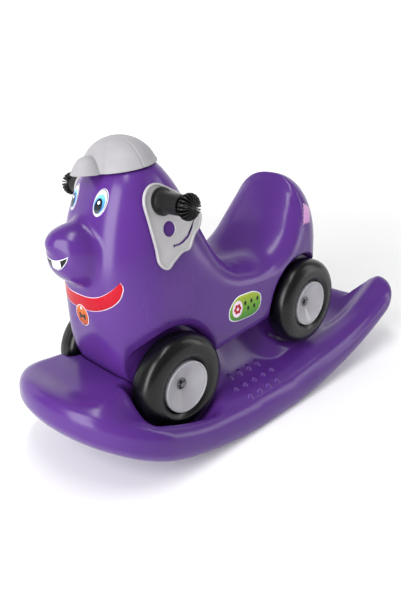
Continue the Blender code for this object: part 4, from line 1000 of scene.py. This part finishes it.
def drape(flat, level, side):
    """March a flat drawing on to the dog: (x, z) along +Y, or (y, z) along X from a side. Each
    step is 0.9 of the distance left, and the lift follows the slope."""
    first, second = flat[..., 0], flat[..., 1]
    if side == 0.0:
        point, way = [first, 0.0 * first + START_Y, second], (0.0, 1.0, 0.0)
    else:
        point, way = [0.0 * first + START_X * side, first, second], (-side, 0.0, 0.0)
    point, way = np.stack(point), np.array(way)
    for _ in range(MARCH_STEPS):
        point = point + 0.9 * way[:, None, None] * dog_skin(*point)
    slope = slope_of(dog_skin, *point)
    lift = (FIRST_LIFT + LIFT_STEP * level) / np.sqrt((slope ** 2).sum(axis=0))
    return np.moveaxis(point + lift * slope, 0, -1)


def label(name, sheets, sides=FACE):
    """One piece from several sheets 0.1 mm thick, each (ink, level, flat grids)."""
    layers = [(ink, level, side, grids) for side in sides for ink, level, grids in sheets]
    points, quads, owner, count = [], [], [], 0
    for k, (_, level, side, grids) in enumerate(layers):
        for flat in grids:
            sheet = drape(flat, level, side)
            face = grid_quads(count + np.arange(sheet[..., 0].size).reshape(sheet.shape[:2]))
            across = np.cross(sheet[-1, 0] - sheet[0, 0], sheet[0, -1] - sheet[0, 0])
            outward = slope_of(dog_skin, *np.moveaxis(sheet, -1, 0)).mean(axis=(1, 2))
            points.append(sheet.reshape(-1, 3))
            quads.append(face[:, ::-1] if across @ outward < 0.0 else face)
            owner.append(np.full(len(face), k))
            count += sheet[..., 0].size
    mesh = mesh_from(name, np.concatenate(points), np.concatenate(quads))
    piece = show(name, mesh, "dog", layers[0][0])
    for ink, *_ in layers[1:]:
        mesh.materials.append(ink)
    mesh.polygons.foreach_set("material_index", np.concatenate(owner).astype(np.int32))
    wall = piece.modifiers.new("thickness", "SOLIDIFY")
    wall.thickness, wall.offset = SHEET_THICKNESS, -1.0


# %% [markdown]
# The eyes are upright ovals with a white edge, a blue iris that is lightest at the top, a dark
# pupil that pales towards its foot and one white glint. The grin is a white smile line with a dark
# opening and a block of teeth, a little to the dog's left.

# %% Eyes and grin
IRIS_BLUE = vinyl("iris_blue_vinyl", "#7f98a6", "#3f7fc4", "#4f9ade", "#7cc4f2",
                  low=0.441, high=0.470)
PUPIL_INK = vinyl("pupil_vinyl", "#6d7579", "#2a3138", "#15191d", low=0.440, high=0.457)
EDGE_INK = vinyl("eye_edge_vinyl", "#4a3a52", "#5d4a63")
EYE_X, EYE_Z = 0.0350, 0.4568
# ink, shift from the eye's centre, half size and points across
EYE_OVALS = ((WHITE_INK, 0.0, 0.0, (0.0122, 0.0200), 14),
             (EDGE_INK, 0.0, 0.0, (0.0112, 0.0190), 14),
             (WHITE_INK, -0.0002, -0.0004, (0.0105, 0.0182), 14),
             (IRIS_BLUE, -0.0004, -0.0022, (0.0096, 0.0142), 14),
             (PUPIL_INK, -0.0014, -0.0050, (0.0068, 0.0112), 14),
             (WHITE_INK, -0.0014, -0.0002, (0.0024, 0.0026), 8))
label("eye_labels", [(ink, level, [disc((side * EYE_X + dx, EYE_Z + dz), half, count)
                                   for _, side in SIDES])
                     for level, (ink, dx, dz, half, count) in enumerate(EYE_OVALS)])

MOUTH_X, MOUTH_HALF, MOUTH_Z, MOUTH_SPAN = 0.0070, 0.0235, 0.3745, 0.0310
run = np.linspace(-1.0, 1.0, 41)
lip_x = MOUTH_X + MOUTH_HALF * run
lip_z = MOUTH_Z + 0.0090 * (lip_x / MOUTH_SPAN) ** 2
drop = 0.0142 * np.sqrt(1.0 - run ** 2) ** 1.2
smile_x = np.linspace(-0.0225, 0.0325, 61)
smile_z = MOUTH_Z + 0.0092 * (smile_x / MOUTH_SPAN) ** 2
smile_half = 0.0010 * np.sqrt(np.clip(1.0 - ((smile_x - 0.005) / 0.0276) ** 2, 0.0, 1.0))
teeth = np.abs(run - 0.03) < 0.52
white = [between(line(lip_x, lip_z + 0.0008),
                 line(MOUTH_X + (lip_x - MOUTH_X) * 1.03, lip_z - drop - 0.0010)),
         between(line(smile_x, smile_z + smile_half), line(smile_x, smile_z - smile_half), 3)]
opening = between(line(lip_x, lip_z - 0.0006), line(lip_x, lip_z - drop))
tooth_block = between(line(lip_x, lip_z - 0.0012)[teeth], line(lip_x, lip_z - 0.94 * drop)[teeth])
label("grin_label", [(WHITE_INK, 0, white), (BLACK_INK, 1, [opening]),
                     (WHITE_INK, 2, [tooth_block])])

# %% [markdown]
# The collar is a red band with pointed ends under the chin, edged in pale pink, and the round
# medal hangs over its lower edge with a small bright ring and a bone.

# %% Collar and medal
COLLAR_RED = vinyl("collar_red_vinyl", "#a5001c", "#b80420", low=0.285, high=0.340)
PALE_EDGE = vinyl("pale_pink_vinyl_edge", "#e6cfe0", "#f1dfea")
MEDAL_ORANGE = vinyl("medal_orange_vinyl", "#8f2f04", "#b24c09", "#bf6311",
                     low=0.254, high=0.290)
bend = np.linspace(0.0, 1.0, 40)
quarter, power = 0.5 * math.pi * bend, 2.0 / 2.6
upper = line(0.0775 * bend, 0.3085 + 0.0305 * bend ** 3.8)
lower = line(0.0800 * np.sin(quarter) ** power, 0.3325 - 0.0467 * np.cos(quarter) ** power)
lower[-3:] = [(0.0804, 0.3285), (0.0797, 0.3350), (0.0775, 0.3390)]
upper, lower = (np.concatenate([half[:0:-1] * (-1.0, 1.0), half]) for half in (upper, lower))
swell, edge_rise = np.array([1.012, 1.0]), np.array([0.0, 0.0011])
label("collar_label", [
    (PALE_EDGE, 0, [between(upper * swell + edge_rise, lower * swell - edge_rise, 12)]),
    (COLLAR_RED, 1, [between(upper, lower, 12)])])

MEDAL_X, MEDAL_Z, BONE_Z = 0.0040, 0.2724, 0.2709
bone = [disc((MEDAL_X, BONE_Z), (0.0060, 0.0021), 8)]
bone += [disc((MEDAL_X + 0.0062 * a, BONE_Z + 0.0024 * b), (0.0029, 0.0029), 7)
         for a in (-1, 1) for b in (-1, 1)]
label("medal_label", [(PALE_EDGE, 2, [disc((MEDAL_X, MEDAL_Z), (0.0176, 0.0190), 16)]),
                      (MEDAL_ORANGE, 3, [disc((MEDAL_X, MEDAL_Z), (0.0162, 0.0176), 16)]),
                      (PALE_EDGE, 4, [disc((MEDAL_X, MEDAL_Z + 0.0130), (0.0024, 0.0030), 8)]),
                      (BLACK_INK, 4, bone)])

# %% [markdown]
# Each flank carries a small green and yellow plaque. Its place and scale follow the real one, and
# its ornament is a daisy and two staggered rows of dots. The tail mark is a pink patch with a dark
# stitch line.

# %% Plaques and tail marks
LEAF_GREEN = vinyl("plaque_green_vinyl", "#33762d", "#64992d", "#a4ae2f", low=0.209, high=0.262)
TAIL_PINK = vinyl("tail_pink_vinyl", "#c088bf", "#d6a2d2", low=0.350, high=0.391)
PLAQUE_Y, PLAQUE_Z, DAISY_Y = -0.0580, 0.2335, -0.0800
rim_line = closed_curve([(-0.1035, 0.2280), (-0.0995, 0.2420), (-0.0830, 0.2570),
                         (-0.0600, 0.2590), (-0.0360, 0.2572), (-0.0165, 0.2480),
                         (-0.0120, 0.2330), (-0.0180, 0.2160), (-0.0360, 0.2085),
                         (-0.0600, 0.2080), (-0.0830, 0.2092), (-0.0990, 0.2160)], 6)
half_way = len(rim_line) // 2
plaque = between(rim_line[:half_way + 1],
                 np.concatenate([rim_line[half_way:], rim_line[:1]])[::-1], 14)
middle = np.array([PLAQUE_Y, PLAQUE_Z])
daisy = [disc((DAISY_Y + 0.0066 * math.cos(a), PLAQUE_Z + 0.0066 * math.sin(a)),
              (0.0035, 0.0035), 7) for a in np.arange(6) * math.pi / 3.0]
dots = [disc((-0.0590 + 0.0088 * k, PLAQUE_Z + 0.0062 * (-1) ** k), (0.0031, 0.0042), 8)
        for k in range(5)]
label("plaque_labels", [(WHITE_INK, 0, [plaque]),
                        (LEAF_GREEN, 1, [middle + (plaque - middle) * (0.955, 0.93)]),
                        (PALE_EDGE, 2, [disc((DAISY_Y, PLAQUE_Z), (0.0140, 0.0165))]),
                        (COLLAR_RED, 3, daisy), (BLACK_INK, 2, dots)], FLANKS)

tail = np.array([(0.1476, 0.3912), (0.1745, 0.3781), (0.1612, 0.3508), (0.1324, 0.3504)])
share = np.linspace(0.0, 1.0, 12)[:, None]
patch = between(tail[0] + share * (tail[1] - tail[0]), tail[3] + share * (tail[2] - tail[3]), 12)
inset = tail + 0.08 * (tail.mean(axis=0) - tail)
stitches = []
for a, b in zip(inset, np.roll(inset, -1, axis=0)):
    unit = (b - a) / np.linalg.norm(b - a)
    thick = 0.00045 * np.array([-unit[1], unit[0]])
    for t in np.linspace(0.06, 0.86, 5):
        thread = a + (b - a) * (t + np.linspace(0.0, 0.10, 4)[:, None])
        stitches.append(between(thread + thick, thread - thick, 2))
label("tail_labels", [(TAIL_PINK, 0, [patch]), (BLACK_INK, 1, stitches)], FLANKS)

# %% [markdown]
# ## Studio
# The floor is a pale sheet that curves up far away. A wide soft light in front of the dog draws
# the broad highlights, a strip behind it on the right the long thin ones, a narrow box overhead
# lights the deck, and a weak one fills the dog's right. An even white sky does the rest.

# %% Camera and floor
# the camera's axes and place, and its focal length in pixels of a portrait 601 high
RIGHT = Vector((0.70167, 0.71229, -0.01739))
UP = Vector((-0.25477, 0.27360, 0.92749))
BACK = Vector((0.66540, -0.64636, 0.37345))
EYE_POINT, FOCAL_PIXELS, TALL_PIXELS = (0.72766, -0.77300, 0.62445), 543.30, 601.0
lens = bpy.data.cameras.new("portrait_camera")
lens.sensor_width = 36.0
lens.lens = FOCAL_PIXELS * 36.0 / TALL_PIXELS
camera = placed("portrait_camera", lens)
turn_to = Matrix((RIGHT.normalized(), UP.normalized(), BACK.normalized())).transposed()
camera.matrix_world = Matrix.Translation(EYE_POINT) @ turn_to.to_4x4()
bpy.context.scene.camera = camera
print("camera at", [round(c, 3) for c in camera.location])

FLOOR_NEAR, FLOOR_FAR, CURVE_RADIUS, WALL_TOP = -6.0, 3.0, 1.5, 6.0
steps = np.linspace(0.0, 1.0, 60)
quarter = steps[1:] * math.pi / 2
run = np.concatenate([FLOOR_NEAR + (FLOOR_FAR - FLOOR_NEAR) * steps,
                      FLOOR_FAR + CURVE_RADIUS * np.sin(quarter), [FLOOR_FAR + CURVE_RADIUS]])
climb = np.concatenate([0.0 * steps, CURVE_RADIUS * (1.0 - np.cos(quarter)), [WALL_TOP]])
run, climb, across = run[:, None], climb[:, None], np.linspace(-7.0, 7.0, 30)
away = (-0.7173, 0.6967)  # from the camera over the toy, on the floor
sheet = np.stack([run * away[0] - across * away[1], run * away[1] + across * away[0],
                  climb + 0.0 * across], axis=-1)
backdrop_mesh = grid_mesh("studio_sweep", sheet)
# matt white paper; the glow rises with the distance, so that the background goes evenly white
paper, paper_tree, paper_shader, spot = new_finish("white_paper", Roughness=0.85)
cloudy_colour(paper_tree, paper_shader, spot, "#f0f0f1", "#f4f4f4", 2.0)
far_off = add(paper_tree, "VectorMath", {0: spot}, operation="LENGTH")
glow = add(paper_tree, "MapRange", {"Value": far_off.outputs["Value"], "From Min": 0.9,
                                    "From Max": 3.2, "To Min": 0.07, "To Max": 0.60})
paper_tree.links.new(glow.outputs["Result"], paper_shader.inputs["Emission Strength"])
backdrop_mesh.materials.append(paper)
backdrop = placed("studio_sweep", backdrop_mesh)

# %% [markdown]
# The four lights are plain rectangles, because the long soft edges of such boxes are what the
# glossy shells show. The overhead box looks straight down.

# %% Lights
# name, place, what it faces, width and height in metres, and power in watts
LIGHTS = (("key_strip", (0.52, -2.22, 1.15), (0.0, -0.1, 0.25), (1.05, 2.3), 60.0),
          ("rear_strip", (1.27, 1.41, 0.95), (0.0, 0.0, 0.15), (0.42, 1.9), 10.0),
          ("overhead_box", (0.32, -0.55, 2.10), (0.32, -0.55, 0.0), (0.34, 1.3), 15.0),
          ("left_fill", (-1.7, -1.2, 0.9), (0.0, 0.0, 0.2), (1.0, 1.6), 5.0))
for name, place, target, size, power in LIGHTS:
    lamp = bpy.data.lights.new(name, "AREA")
    lamp.shape, lamp.energy = "RECTANGLE", power
    lamp.size, lamp.size_y = size
    item = placed(name, lamp)
    item.location = place
    item.rotation_euler = (Vector(target) - Vector(place)).to_track_quat("-Z", "Y").to_euler()
# turned about Z to lie along the camera's view
bpy.data.objects["overhead_box"].rotation_euler = (0.0, 0.0, math.radians(43.0))

world = bpy.data.worlds.new("white_room")
world.use_nodes = True
sky = world.node_tree.nodes["Background"]
sky.inputs["Color"].default_value = linear("#ffffff")
sky.inputs["Strength"].default_value = 0.36
bpy.context.scene.world = world
bpy.context.scene.view_settings.view_transform = "Standard"
print("lights", [light[0] for light in LIGHTS])
